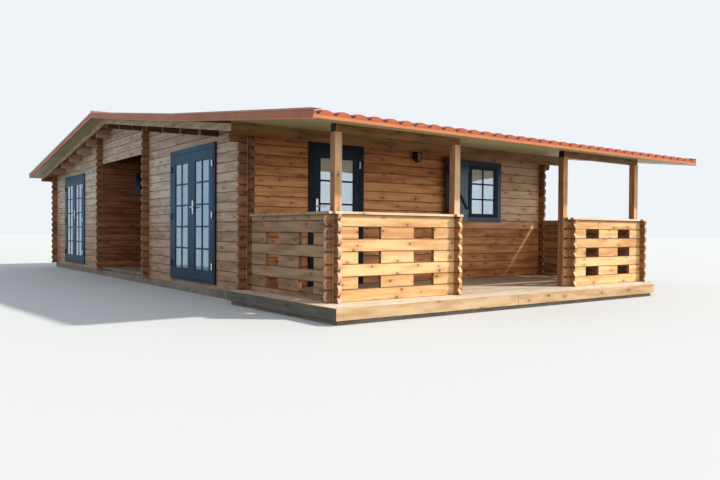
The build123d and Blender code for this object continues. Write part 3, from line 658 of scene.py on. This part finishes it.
# Near-black foam closures in the troughs at the eave, standing in for the shade there as painted shade
# too.
closure_shade_finish = coated_material("closure_foam_and_shade", "", shades(52, 26, 22, 34, 18, 14), 0.9)
# The verge rim is paler as a painted highlight along the flashing's top edge.
rim_highlight_finish = coated_material("rim_highlight_coating", "", shades(196, 132, 104, 166, 104, 80), 0.35)
# The soffit's cream carries a green cast: painted light bounced from the lawn.
soffit_material("soffit_coating", "roof_panels_rear roof_panels_front roof_panels_veranda",
                shades(196, 190, 140, 168, 158, 108))
blue = shades(36, 88, 122, 26, 64, 94)
joinery_finish = paint_material("blue_paint", "near_pair_left_leaf near_pair_right_leaf "
                                "far_pair_left_leaf far_pair_right_leaf", blue)
# The casings nearer to the front than the near pair of doors take a dark navy as painted shade.
paint_material("casing_paint", "door_frames", blue, tint(18, 28, 44))
navy_finish = paint_material("navy_paint", "front_door_leaf porch_door window_sashes",
                             shades(30, 44, 66, 20, 30, 46))
paint_material("pale_frame_paint", "window_frames", shades(106, 122, 146, 78, 92, 116),
               shade_heights=window_shade_heights)
# The shutter's paint takes a near-black colour towards its free edge, behind the post.
shutter_finish = paint_material("shutter_paint", "window_shutter", shades(130, 152, 172, 100, 122, 142),
                                fade=(free_edge + 0.14, free_edge + 0.28, tint(40, 42, 50)),
                                shade_heights=window_shade_heights)
dark_paint = paint_material("dark_paint", "", shades(18, 20, 25, 12, 14, 18))
glass_material("front_glazing", "front_door_glass window_glass", (0.80, 0.90, 0.98, 1.0), 0.55)
glass_material("pair_glazing", "near_pair_left_glass near_pair_right_glass far_pair_left_glass "
               "far_pair_right_glass", (0.38, 0.58, 0.76, 1.0), 0.42)
hinge_metal = metal_material("pale_metal", "near_pair_handle far_pair_handle front_door_handle",
                             tint(224, 224, 220))
lamp_glass = metal_material("lamp_glass", "", tint(84, 78, 68))
lamp_finish = paint_material("lamp_paint", "wall_lamp", shades(34, 32, 32, 18, 18, 20))
concrete_material("pale_concrete", "cabin_foundation veranda_base",
                  shades(156, 146, 134, 118, 108, 96))


# Meshes
def put_mesh(name, points, faces, finish, smooth=False):
    """A mesh object at the origin from an array of points and lists of corners."""
    mesh = bpy.data.meshes.new(name)
    mesh.from_pydata(np.asarray(points).reshape(-1, 3).tolist(), [], faces)
    mesh.polygons.foreach_set("use_smooth", [smooth] * len(mesh.polygons))
    mesh.materials.append(finish)
    made = bpy.data.objects.new(name, mesh)
    bpy.context.collection.objects.link(made)
    return made


def put_solid(name, points, faces, finish, smooth=False):
    """A mesh object whose doubled points at seams and poles are merged, with its faces turned out."""
    piece = put_mesh(name, points, faces, finish, smooth)
    shape = bmesh.new()
    shape.from_mesh(piece.data)
    bmesh.ops.remove_doubles(shape, verts=shape.verts, dist=1e-6)
    bmesh.ops.dissolve_degenerate(shape, edges=shape.edges, dist=1e-6)
    bmesh.ops.recalc_face_normals(shape, faces=shape.faces)
    shape.to_mesh(piece.data)
    shape.free()
    return piece


def settle(piece, body, slot, *nodes):
    """Attaches a piece to the body that it rides on and hides the nodes that it stands for. The slot is
    not used.
    """
    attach(piece, body)
    if nodes:
        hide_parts(*nodes)
    return piece


def points_at(*parts, axes=(0, 1, 2)):
    """Points whose coordinates along the axes are numbers or arrays, spread to one shape."""
    spread = np.broadcast_arrays(*parts)
    return np.stack([spread[axes.index(n)] for n in range(3)], -1)


def grid_quads(rows, columns, wrap=False):
    """Quads between neighbouring points of a grid. Wrap joins the last column to the first."""
    row, column = np.meshgrid(np.arange(rows - 1), np.arange(columns - (0 if wrap else 1)),
                              indexing="ij")
    after = (column + 1) % columns
    corners = [row * columns + column, row * columns + after, (row + 1) * columns + after,
               (row + 1) * columns + column]
    return np.stack(corners, -1).reshape(-1, 4).tolist()


def skin(rings, sides):
    """Faces over rings of points, one ring after another, with a flat face at both ends."""
    last = (rings - 1) * sides
    return grid_quads(rings, sides, wrap=True) + [list(range(sides))[::-1],
                                                  list(range(last, last + sides))]


def repeat_faces(faces, size, count):
    """The faces of one shape of that many points, repeated for a row of such shapes."""
    return [[corner + size * n for corner in face] for n in range(count) for face in faces]


def bars(name, lows, highs, axis, edge, finish, bend=None):
    """Straight bars with eased edges. Each is an eight-sided ring, a rectangle with its corners cut,
    carried along the axis and drawn in by the edge at both ends. Bend may then move all the points."""
    lows, highs = np.atleast_2d(lows).astype(float), np.atleast_2d(highs).astype(float)
    lows, highs = np.minimum(lows, highs), np.maximum(lows, highs)
    wide, tall = [n for n in range(3) if n != axis]
    ends = np.stack([lows, lows, highs, highs], 1)[..., axis] + edge * np.array([0, 1, -1, 0])
    inset = edge * np.array([1, 0, 0, 1])[:, None]
    side = np.array([1, -1, -2, -2, -1, 1, 2, 2])

    def ring(over, way):
        """Coordinates of the four rings over one of the other two axes."""
        centre, half = (lows + highs)[:, over] / 2, (highs - lows)[:, over] / 2
        reach = half[:, None, None] - inset - edge * (np.abs(way) == 1)
        return centre[:, None, None] + np.sign(way) * reach

    points = points_at(ends[..., None], ring(wide, side), ring(tall, np.roll(side, -2)),
                       axes=(axis, wide, tall))
    if bend:
        points = bend(points)
    return put_solid(name, points, repeat_faces(skin(4, 8), 32, len(lows)), finish)


def turned(name, centres, axis, profile, finish, sides=16):
    """Round pieces: a profile of distances along the axis and radii, turned about it. A radius of 0
    closes an end."""
    centres = np.atleast_2d(centres).astype(float)
    angle = np.linspace(0, 2 * pi, sides, endpoint=False)
    along, radius = np.array(profile, float).T
    ring = points_at(along[:, None], radius[:, None] * np.cos(angle), radius[:, None] * np.sin(angle),
                     axes=(axis, *[n for n in range(3) if n != axis]))
    points = centres[:, None, None] + ring
    one = grid_quads(len(profile), sides, wrap=True)
    faces = repeat_faces(one, len(profile) * sides, len(centres))
    return put_solid(name, points, faces, finish, smooth=True)


def tube(name, path, radii, finish, sides=14):
    """A round bar: circles square to the path at its points, of the radii given, with flat ends."""
    ahead = np.gradient(path, axis=0)
    ahead /= np.linalg.norm(ahead, axis=1, keepdims=True)
    side = np.cross(ahead, (0.0, 0.0, 1.0))
    side /= np.linalg.norm(side, axis=1, keepdims=True)
    lift = np.cross(side, ahead)
    angle = np.linspace(0, 2 * pi, sides, endpoint=False)
    ring = (side[:, None] * np.cos(angle)[:, None] + lift[:, None] * np.sin(angle)[:, None])
    points = path[:, None] + radii[:, None, None] * ring
    return put_solid(name, points, skin(len(path), sides), finish, smooth=True)


def strip(name, x0, x1, line, above, below, finish):
    """A bar between x0 and x1 that follows a line of (y, z) points, from above it to below it."""
    points = points_at((x0, x1, x1, x0), line[:, :1], line[:, 1:] + (above, above, below, below))
    return put_solid(name, points, skin(len(line), 4), finish)


def solids_of(node):
    """Boxes of a node's separate solids. Each point's label spreads over the triangles that share it
    until nothing changes, and each label left is one solid."""
    mesh = frame["nodes"][node].data
    places = np.zeros(len(mesh.vertices) * 3)
    mesh.vertices.foreach_get("co", places)
    unique, index = np.unique(places.reshape(-1, 3).round(5), axis=0, return_inverse=True)
    corners = np.zeros(len(mesh.loops), dtype=np.int32)
    mesh.loops.foreach_get("vertex_index", corners)
    triangles = index.ravel()[corners].reshape(-1, 3)
    labels = np.arange(len(unique))
    changed = True
    while changed:
        spread = labels.copy()
        np.minimum.at(spread, triangles.ravel(), np.repeat(labels[triangles].min(axis=1), 3))
        changed = bool((spread != labels).any())
        labels = spread
    return [(unique[labels == one].min(axis=0), unique[labels == one].max(axis=0))
            for one in np.unique(labels)]


# Roof tiles
verge_low, verge_high = low("verge_flashings"), high("verge_flashings")
kink_y = high("roof_panels_veranda")[1]
crest_z = verge_high[2] - flashing_lip
eave_face_front = low("eave_flashings")[1]
eave_face_rear = high("eave_flashings")[1]
tile_left, tile_right = verge_low[0] + tile_inset, verge_high[0] - tile_inset
tile_count = round((tile_right - tile_left) / tile_pitch)


def roof_height(y):
    """Height of the crest line, which falls both ways from the ridge and less under the veranda."""
    kink_z = crest_z - (ridge_y - kink_y) * tan(radians(main_pitch))
    main = crest_z - np.abs(y - ridge_y) * tan(radians(main_pitch))
    return np.where(y < kink_y, kink_z - (kink_y - y) * tan(radians(veranda_pitch)), main)


def wave_share(turns):
    """Depth under the crest from 0 to 1: a broad crest, then a trough, steep on its far side."""
    return np.interp(turns % 1.0, (0.0, 0.10, 0.22, 0.30, 0.42, 0.72, 1.0),
                     (0.35, 0.85, 1.0, 0.92, 0.35, 0.0, 0.35))


def tile_sheet(name, start_y, end_y, closed_end, *nodes):
    """Roof sheet pressed as tiles, from start_y down to end_y. Its height is the crest line, less a
    wave across the slope, plus a saw tooth along it that rises over each course to its nose."""
    wave = np.linspace(0, tile_count, tile_count * tile_samples + 1)
    x = np.linspace(tile_left, tile_right, len(wave))
    length = abs(end_y - start_y)
    courses = ceil(length / tile_course)
    shares, lifts = np.array([0.0, 0.5, 0.93, 1.0]), np.array([0.0, 0.5, 1.0, 0.75])
    along = (np.arange(courses)[:, None] + shares).ravel() * tile_course
    lift = np.tile(lifts, courses) * tile_step
    along = length - along[-1] + along
    keep = along >= 0
    along, lift = along[keep], lift[keep]
    y = start_y + np.sign(end_y - start_y) * along
    depth = wave_share(wave)
    z = (roof_height(y) - tile_step)[:, None] + lift[:, None] - tile_wave * depth
    points = points_at(x, y[:, None], z)
    shade = np.broadcast_to(depth, z.shape)
    if closed_end:
        foot = points[-1].copy()
        foot[:, 2] = roof_height(y[-1]) - tile_rise - tile_foot
        points, shade = np.concatenate([points, foot[None]]), np.concatenate([shade, shade[-1:] * 0])
    faces = grid_quads(len(points), len(x))
    if end_y < start_y:
        faces = [face[::-1] for face in faces]
    piece = put_mesh(name, points, faces, tile_finish, smooth=True)
    piece.data.attributes.new("depth", "FLOAT", "POINT").data.foreach_set("value", shade.ravel())
    piece.modifiers.new("crisp_noses", "EDGE_SPLIT").split_angle = radians(crease_angle)
    settle(piece, "cabin", "roof_tile_sheet", *nodes)


tile_sheet("rear_tiles", ridge_y, eave_face_rear + eave_lap, True)
tile_sheet("front_tiles", ridge_y, kink_y - sheet_lap, False)
tile_sheet("veranda_tiles", kink_y, eave_face_front - eave_lap, True)


def closures(name, y, side):
    """Dark pieces in the trough beside each crest at the eave: foam closures that also stand in for
    the shade there, as painted shade. Their top follows the sheet, and their thickness is half a sine
    wave."""
    start = tile_left + np.arange(tile_count)[:, None] * (tile_right - tile_left) / tile_count
    share = np.linspace(0, 1, 9)
    turns = closure_start + closure_span * share
    top = roof_height(y) - closure_drop - tile_wave * wave_share(turns)
    rows = np.stack([points_at(start + tile_pitch * turns, y + side * eave_lap, edge)
                     for edge in (top, top - closure_height * np.sin(pi * share))], 1)
    back = rows - np.array([0.0, side * closure_depth, 0.0])
    points = np.concatenate([rows, back[:, ::-1]], 1)
    one = grid_quads(4, 9) + [[27 + n, 28 + n, n + 1, n] for n in range(8)]
    settle(put_solid(name, points, repeat_faces(one, 36, tile_count), closure_shade_finish), "cabin",
           "roof_tile_sheet")


closures("front_closures", eave_face_front - eave_lap, -1)
closures("rear_closures", eave_face_rear + eave_lap, 1)

# Ridge cap: overlapping lengths of bent sheet with a half-round roll along the middle
cap_low, cap_high = low("ridge_cap"), high("ridge_cap")
wing = (cap_high[1] - cap_low[1]) / 2
lengths = round((cap_high[0] - cap_low[0]) / ridge_cap_length)
roll = np.linspace(0, pi, 13)
side = np.concatenate([[-wing, -wing, -roll_foot], -roll_radius * np.cos(roll),
                       [roll_foot, wing, wing]])
rise = crest_z + cap_gap - np.abs(side) * tan(radians(main_pitch))
rise += np.concatenate([[-roll_rise, 0, 0], roll_rise * np.sin(roll), [0, 0, -roll_rise]])
cut = np.linspace(cap_low[0] - cap_overhang, cap_high[0] + cap_overhang, lengths + 1)
x = np.stack([cut[:-1] - sheet_lap, cut[1:]], 1)
x[0, 0] = cut[0]
sheet = points_at(x[:, :, None], ridge_y + side, rise + np.array([[0.0], [cap_thickness]]))
profile = list(range(len(side)))
one = grid_quads(2, len(side)) + [profile, [len(side) + n for n in profile][::-1]]
settle(put_solid("ridge_roll", sheet, repeat_faces(one, 2 * len(side), lengths), flashing_finish),
       "cabin", "roof_tile_sheet", "ridge_cap")

# Verges: a folded drip under each flashing, a paler rim along its top as a painted highlight, and its
# screws
roof_y = np.array([eave_face_rear, ridge_y, kink_y, eave_face_front])
verge_line = np.stack([roof_y, roof_height(roof_y)], 1)
verge_foot = -(crest_z - high("roof_panels_rear")[2]) - verge_lining
verges = (("left", verge_low[0], 1), ("right", verge_high[0], -1))
for name, edge, turn in verges:
    for label, outer, inner, above, below, finish in (
            ("drip", 0.006, 0.006, verge_foot, verge_foot - 0.010, lip_finish),
            ("rim", 0.005, 0.004, 0.006, -0.012, rim_highlight_finish)):
        settle(strip(f"{name}_verge_{label}", edge - turn * outer, edge + turn * inner, verge_line,
                     above, below, finish), "cabin", "roof_flashing")


def screws(name, places, axis, side, finish, slot):
    """Domed screw heads on a face square to the axis."""
    profile = [(0, 0), (0, screw_radius), (side * 0.0015, screw_radius * 0.9),
               (side * 0.003, screw_radius * 0.5), (side * 0.0034, 0)]
    settle(turned(name, places, axis, profile, finish, sides=8), "cabin", slot)


verge_y = np.arange(eave_face_front + 0.12, eave_face_rear - 0.05, verge_screw_step)
for name, edge, turn in verges:
    heads = points_at(edge, verge_y, roof_height(verge_y) - verge_screw_drop)
    screws(name + "_verge_screws", heads, 0, -turn, flashing_finish, "roof_flashing")

# Veranda deck boards, with their ends cut along the deck's corner, and their screws
deck_low, deck_high = low("veranda_deck"), high("veranda_deck")
fascia_low, fascia_high = low("deck_fascia"), high("deck_fascia")
cut_slope = deck_corner[0] / deck_corner[1]
cut_inset = (deck_low[0] - fascia_low[0]) * np.hypot(*deck_corner) / deck_corner[1]


def cut_edge(y):
    """Where the slanting edge of the deck's cut corner runs at each Y, inside its fascia."""
    return fascia_high[0] - deck_corner[0] + (y - fascia_low[1]) * cut_slope - cut_inset


def deck_end(points):
    """Draws the boards' right ends in to the slanting edge of the deck's cut corner."""
    points[..., 0] = np.minimum(points[..., 0], np.maximum(cut_edge(points[..., 1]), 0.0))
    return points


def planks(node, count, inset, under):
    """Low and high corners of boards side by side along Y over a node, with a gap after each."""
    first = low(node)[1] + board_pitch(node, count) * np.arange(count)
    after = first + board_pitch(node, count) - board_gap
    return (points_at(low(node)[0] + inset, first, under),
            points_at(high(node)[0] - inset, after, floor_z))


# The last board is cut round the corner logs
lows, highs = planks("veranda_deck", deck_boards, 0.001, deck_low[2] + 0.0005)
screw_y = lows[:-1, 1, None] + np.array([screw_inset, deck_pitch - board_gap - screw_inset])
lows, highs = (np.concatenate([ends[:-1], np.repeat(ends[-1:], 3, 0)]) for ends in (lows, highs))
lows[-2:, 0] = left_x + corner_gap, right_x + corner_gap
highs[-3:-1, 0] = left_x - corner_gap, right_x - corner_gap
settle(bars("veranda_deck_boards", lows, highs, 0, board_edge, deck_finish, deck_end), "cabin",
       "deck_boards", "veranda_deck")
joist_x = np.linspace(deck_low[0] + joist_inset, deck_high[0] - joist_inset, deck_joists)
heads = points_at(joist_x, screw_y.reshape(-1, 1), floor_z).reshape(-1, 3)
inside = heads[:, 0] < cut_edge(heads[:, 1]) - corner_clearance
screws("deck_screws", heads[inside], 2, 1, hinge_metal, "deck_boards")

# Porch floor: boards on a bearer
under = floor_z - porch_board_depth
lows, highs = planks("porch_floor", porch_boards, 0.0, under)
settle(bars("porch_floor_boards", lows, highs, 0, board_edge, porch_floor_finish), "cabin",
       "deck_boards", "porch_floor")
settle(bars("porch_floor_bearer", low("porch_floor") + (0.012, 0, 0),
            (*high("porch_floor")[:2], under), 1, 0.002, fascia_finish), "cabin", "deck_boards",
       "porch_floor")


# Glazing
def glazing(name, pane, axis, columns, rows, body, finish):
    """Bars and beads of glazing on both sides of a pane in a wall whose normal is the axis. The bars
    stand at even steps between the edges, and the beads line the four edges."""
    start, end = pane
    across = 1 - axis
    faces, out = np.array([[start[axis]], [end[axis]]]), np.array([[-1], [1]])
    for label, way, over, steps in (("uprights", 2, across, columns), ("rails", across, 2, rows)):
        places = np.linspace(start[over], end[over], steps + 1)
        first = np.append(places[1:-1] - bar_width / 2, [places[0], places[-1] - bead_width])
        last = np.append(places[1:-1] + bar_width / 2, [places[0] + bead_width, places[-1]])
        proud = np.array([bar_proud] * (steps - 1) + [bead_proud] * 2)
        near = points_at(faces, first, start[way], axes=(axis, over, way))
        far = points_at(faces + out * proud, last, end[way], axes=(axis, over, way))
        settle(bars(f"{name}_{label}", near.reshape(-1, 3), far.reshape(-1, 3), way, glazing_edge,
                    finish), body, "joinery")


# Each leaf of a door: the start of its nodes' names and of its body's name, the axis of its normal,
# its hinge side, and the finishes of its hinges and of its bars
leaves = [("near_pair_left", "near_left", 0, 1, joinery_finish, joinery_finish),
          ("near_pair_right", "near_right", 0, -1, hinge_metal, joinery_finish),
          ("far_pair_left", "far_left", 0, 1, joinery_finish, joinery_finish),
          ("far_pair_right", "far_right", 0, -1, hinge_metal, joinery_finish),
          ("front_door", "front", 1, 1, hinge_metal, navy_finish)]
for node, short, axis, _, _, finish in leaves:
    glazing(node + "_glazing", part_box(node + "_glass"), axis, 2, 5, short + "_leaf", finish)
for number, pane in enumerate(solids_of("window_glass")):
    size = pane[1] - pane[0]
    columns, rows = (2, 3) if size[2] > tall_pane else (1, 1)
    glazing(f"window_{number}_glazing", pane, int(np.argmin(size[:2])), columns, rows, "cabin",
            navy_finish)


# Hinges and handles
def hinges(name, node, body, axis, side, finish):
    """Sleeves with rounded caps and two narrow necks round the three barrels of a leaf."""
    leaf_low, leaf_high = low(node), high(node)
    across = 1 - axis
    span = leaf_high[2] - leaf_low[2]
    feet = np.array([barrel_margin, (span - barrel_length) / 2, span - barrel_margin - barrel_length])
    places = points_at(leaf_low[axis] + barrel_radius,
                       (leaf_high if side > 0 else leaf_low)[across] - side * barrel_radius,
                       leaf_low[2] + feet, axes=(axis, across, 2))
    necks = [(at + step, hinge_radius if step else hinge_neck)
             for at in (0.030, 0.060) for step in (-0.001, 0, 0.001)]
    profile = [(-0.006, 0), (-0.005, hinge_tip), (0, hinge_radius), *necks,
               (0.090, hinge_radius), (0.095, hinge_tip), (0.096, 0)]
    settle(turned(name, places, 2, profile, finish), body, "handle_metal")


for node, short, axis, side, finish, _ in leaves:
    hinges(short + "_hinges_barrels", node + "_leaf", short + "_leaf", axis, side, finish)


def handle(name, node, body, axis):
    """A rounded back plate, a keyhole cap, and a lever that bends through a quarter circle from its
    stem to run beside the leaf. The stem stands at the plate's middle."""
    across = 1 - axis
    side = 1 if axis else -1
    face = high(node)[axis]
    stem = (low(node) if axis else high(node))[across] + side * plate_width / 2
    z = low(node)[2] + plate_height / 2

    def place(out, away, up):
        """Points out from the leaf's face, away along it from the stem, and up from its height."""
        return points_at(face - out, stem + side * away, z + up, axes=(axis, across, 2))

    near = place(plate_thickness, -plate_width / 2, -plate_height / 2)
    far = place(0, plate_width / 2, plate_height / 2)
    settle(bars(name + "_plate", near, far, 2, 0.003, hinge_metal), body, "handle_metal", node)
    turn = np.linspace(0, pi / 2, 9)
    out = np.concatenate([[plate_thickness - 0.002],
                          lever_reach - lever_bend + lever_bend * np.sin(turn),
                          [lever_reach, lever_reach - 0.003]])
    away = np.concatenate([[0.0], lever_bend * (1 - np.cos(turn)),
                           [lever_length * 0.85, lever_length]])
    radii = lever_radius * np.concatenate([[1.1], np.linspace(1.0, 0.85, 9), [0.8, 0.62]])
    settle(tube(name + "_lever", place(out, away, 0), radii, hinge_metal), body, "handle_metal", node)
    cap = place(plate_thickness, 0, -keyhole_drop)
    profile = [(0.001, 0), (0.001, keyhole_radius), (-0.002, keyhole_radius), (-0.0025, 0.007),
               (-0.0025, 0)]
    settle(turned(name + "_keyhole", cap, axis, profile, dark_paint), body, "handle_metal", node)


handle("near_handle", "near_pair_handle", "near_right_leaf", 0)
handle("far_handle", "far_pair_handle", "far_right_leaf", 0)
handle("front_handle", "front_door_handle", "front_leaf", 1)

# Shutter, made in its own frame and swung open about its hinge line
shutter_joint = next(joint for joint in frame["joints"] if joint["name"] == "shutter_hinge")
shutter_foot = np.array([*shutter_joint["pos_m"][:2], low("window_shutter")[2]])
swing = -radians(shutter_angle)
swing_matrix = np.array([[cos(swing), -sin(swing), 0], [sin(swing), cos(swing), 0], [0, 0, 1]])
batten_z = np.array([batten_low, batten_high])
half_batten = batten_width / 2
brace_foot, brace_head = batten_low + half_batten, batten_high - half_batten


def swung(points):
    """Points of the shutter's own frame, turned about its hinge line and moved to its place."""
    return points @ swing_matrix.T + shutter_foot


def braced(points):
    """Leans an upright bar so that it runs from the low hinge side to the high free side."""
    share = (points[..., 2] - brace_foot) / (brace_head - brace_foot)
    points[..., 0] += share * (shutter_width - 2 * shutter_inset - brace_width)
    return swung(points)


def shutter_bars(label, near, far, axis, edge, finish=shutter_finish, bend=swung):
    """Bars of the shutter between two corners, whose coordinates may be rows of numbers."""
    settle(bars("shutter_" + label, points_at(*near), points_at(*far), axis, edge, finish, bend),
           *as_shutter)


as_shutter = ("shutter", "shutter_boards", "window_shutter")
cuts = np.linspace(shutter_start, shutter_width, shutter_boards + 1)
shutter_bars("boards", (cuts[:-1] + 0.001, -shutter_thickness, 0),
             (cuts[1:] - 0.001, 0, shutter_height), 2, 0.004)
shutter_bars("battens", (shutter_inset, 0, batten_z - half_batten),
             (shutter_width - shutter_inset, shutter_thickness, batten_z + half_batten), 0, 0.003)
shutter_bars("brace", (shutter_inset, 0, brace_foot),
             (shutter_inset + brace_width, shutter_thickness, brace_head), 2, 0.003, dark_paint, braced)
shutter_bars("plates", (0.0, -0.004, batten_z - half_batten),
             (shutter_inset, 0.0, batten_z + half_batten), 2, 0.001, dark_paint)
settle(turned("shutter_barrels", shutter_foot + points_at(0, 0, batten_z - half_batten), 2,
              [(0, 0), (0, 0.008), (0.002, barrel_radius), (0.088, barrel_radius), (0.090, 0.008),
               (0.090, 0)], dark_paint), *as_shutter)

# End plates on the veranda's beams
lows, highs = [], []
for beam_low, beam_high in solids_of("veranda_beams"):
    for end, side in ((beam_low[0], -1), (beam_high[0], 1)):
        lows.append((end + side * shoe_thickness, beam_low[1] + shoe_inset, beam_low[2]))
        highs.append((end + side * 0.0005, beam_high[1] - shoe_inset, beam_low[2] + shoe_height))
settle(bars("beam_shoes", lows, highs, 2, 0.001, dark_paint), "cabin", "railing_logs")

# Lamp: a lantern of four sloping bars round a pale glass, under a pointed roof, on its bracket
as_lamp = ("cabin", "lamp_metal", "wall_lamp")
lamp_low, lamp_high = low("wall_lamp"), high("wall_lamp")
lamp_x, lamp_foot = (lamp_low[0] + lamp_high[0]) / 2, lamp_low[2]
lamp_half = (lamp_high[0] - lamp_low[0]) / 2
lamp_y = lamp_low[1] + lamp_half
square = np.array([[-1, -1], [1, -1], [1, 1], [-1, 1]])


def lantern(name, levels, finish):
    """A square shell closed at both ends. At each height its half width is a share of the lamp's."""
    heights, shares = np.array(levels).T[..., None]
    points = points_at(lamp_x + square[:, 0] * lamp_half * shares,
                       lamp_y + square[:, 1] * lamp_half * shares, lamp_foot + heights)
    settle(put_solid(name, points, skin(len(levels), 4), finish), *as_lamp)


def cage(points):
    """Spreads upright bars from the lantern's foot to its roof."""
    grow = 0.52 + 0.42 * (points[..., 2] - lamp_foot) / lamp_rise
    for axis, centre in ((0, lamp_x), (1, lamp_y)):
        points[..., axis] = centre + (points[..., axis] - centre) * grow
    return points


lantern("lamp_roof", [(lamp_rise - 0.006, 0.92), (lamp_rise - 0.004, 1.0), (lamp_rise + 0.004, 1.0),
                      (lamp_rise + 0.030, 0.45), (0.178, 0.2), (0.190, 0.004 / lamp_half)], lamp_finish)
lantern("lamp_glass", [(0.010, 0.44), (lamp_rise - 0.006, 0.86)], lamp_glass)
lantern("lamp_foot", [(0.0, 0.30), (0.004, 0.52), (0.012, 0.52)], lamp_finish)
corner = square[[0, 3, 1, 2]] * (lamp_half - 0.005)
posts = points_at(lamp_x + corner[:, 0], lamp_y + corner[:, 1], lamp_foot)
settle(bars("lamp_cage", posts - (lamp_bar, lamp_bar, 0), posts + (lamp_bar, lamp_bar, lamp_rise), 2,
            0.001, lamp_finish, cage), *as_lamp)
arm_low = [(lamp_x - 0.035, lamp_high[1] - 0.010, lamp_foot + 0.048),
           (lamp_x - 0.008, lamp_y, lamp_foot + 0.166)]
arm_high = [(lamp_x + 0.035, lamp_high[1], lamp_high[2]),
            (lamp_x + 0.008, lamp_high[1] - 0.004, lamp_foot + 0.182)]
settle(bars("lamp_bracket", arm_low, arm_high, 1, 0.002, lamp_finish), *as_lamp)


# Camera, light and floor
def add_camera():
    """The photograph's own camera: a level heading turned from +Y, then tipped and rolled."""
    data = bpy.data.cameras.new("camera")
    data.sensor_width = sensor_width
    data.lens = focal_px / frame_px * sensor_width
    data.clip_end = 500.0
    camera = bpy.data.objects.new("camera", data)
    yaw, pitch, roll = radians(camera_yaw), radians(camera_pitch), radians(camera_roll)
    ahead = Vector((sin(yaw) * cos(pitch), cos(yaw) * cos(pitch), sin(pitch)))
    right = Vector((cos(yaw), -sin(yaw), 0.0))
    up = right.cross(ahead)
    tilted_right = cos(roll) * right + sin(roll) * up
    tilted_up = cos(roll) * up - sin(roll) * right
    turn = Matrix((tilted_right, tilted_up, -ahead)).transposed().to_4x4()
    camera.matrix_world = Matrix.Translation(camera_place) @ turn
    bpy.context.collection.objects.link(camera)
    bpy.context.scene.camera = camera


def add_distant_light(name, azimuth, elevation, spread, strength, colour):
    """A light from far off. The azimuth counts from -Y towards +X, and the spread is its angle."""
    data = bpy.data.lights.new(name, "SUN")
    data.energy = strength
    data.angle = radians(spread)
    data.color = colour
    light = bpy.data.objects.new(name, data)
    side, rise = radians(azimuth), radians(elevation)
    towards = Vector((sin(side) * cos(rise), -cos(side) * cos(rise), sin(rise)))
    light.matrix_world = towards.to_track_quat("Z", "Y").to_matrix().to_4x4()
    bpy.context.collection.objects.link(light)


def seen_or_lit(make, seen, lit):
    """Seen for rays from the camera, gloss or glass, and lit for the rays that carry light."""
    path = make.add("LightPath").outputs
    looks = make.math("MAXIMUM", path["Is Camera Ray"],
                      make.math("MAXIMUM", path["Is Glossy Ray"], path["Is Transmission Ray"]))
    return make.mix(looks, lit, seen)


def add_world():
    """A plain pale sky, whose light has its own colour and strength."""
    world = bpy.data.worlds.new("sky")
    world.use_nodes = True
    world.node_tree.nodes.clear()
    make = Maker(world.node_tree)
    lit = tuple(sky_strength * part for part in (0.86, 0.94, 1.06)) + (1.0,)
    glow = make.add("Background", {"Color": seen_or_lit(make, (0.86, 0.90, 0.94, 1.0), lit)})
    make.add("OutputWorld", {"Surface": glow.outputs[0]})
    bpy.context.scene.world = world


def add_floor():
    """A wide pale floor that returns less light than it shows."""
    made, make, *_ = material("studio_floor")
    make.surface(seen_or_lit(make, (0.62, 0.63, 0.62, 1.0), (0.22, 0.22, 0.20, 1.0)), 0.9)
    corners = points_at(*(floor_reach * square.T), 0)
    put_mesh("floor", corners, [[0, 1, 2, 3]], made)


add_camera()
add_distant_light("sun", sun_azimuth, sun_elevation, sun_spread, sun_strength, (1.0, 0.95, 0.88))
add_distant_light("fill", fill_azimuth, fill_elevation, fill_spread, fill_strength, (1.0, 0.98, 0.95))
add_world()
add_floor()
bpy.context.scene.view_settings.view_transform = "Standard"
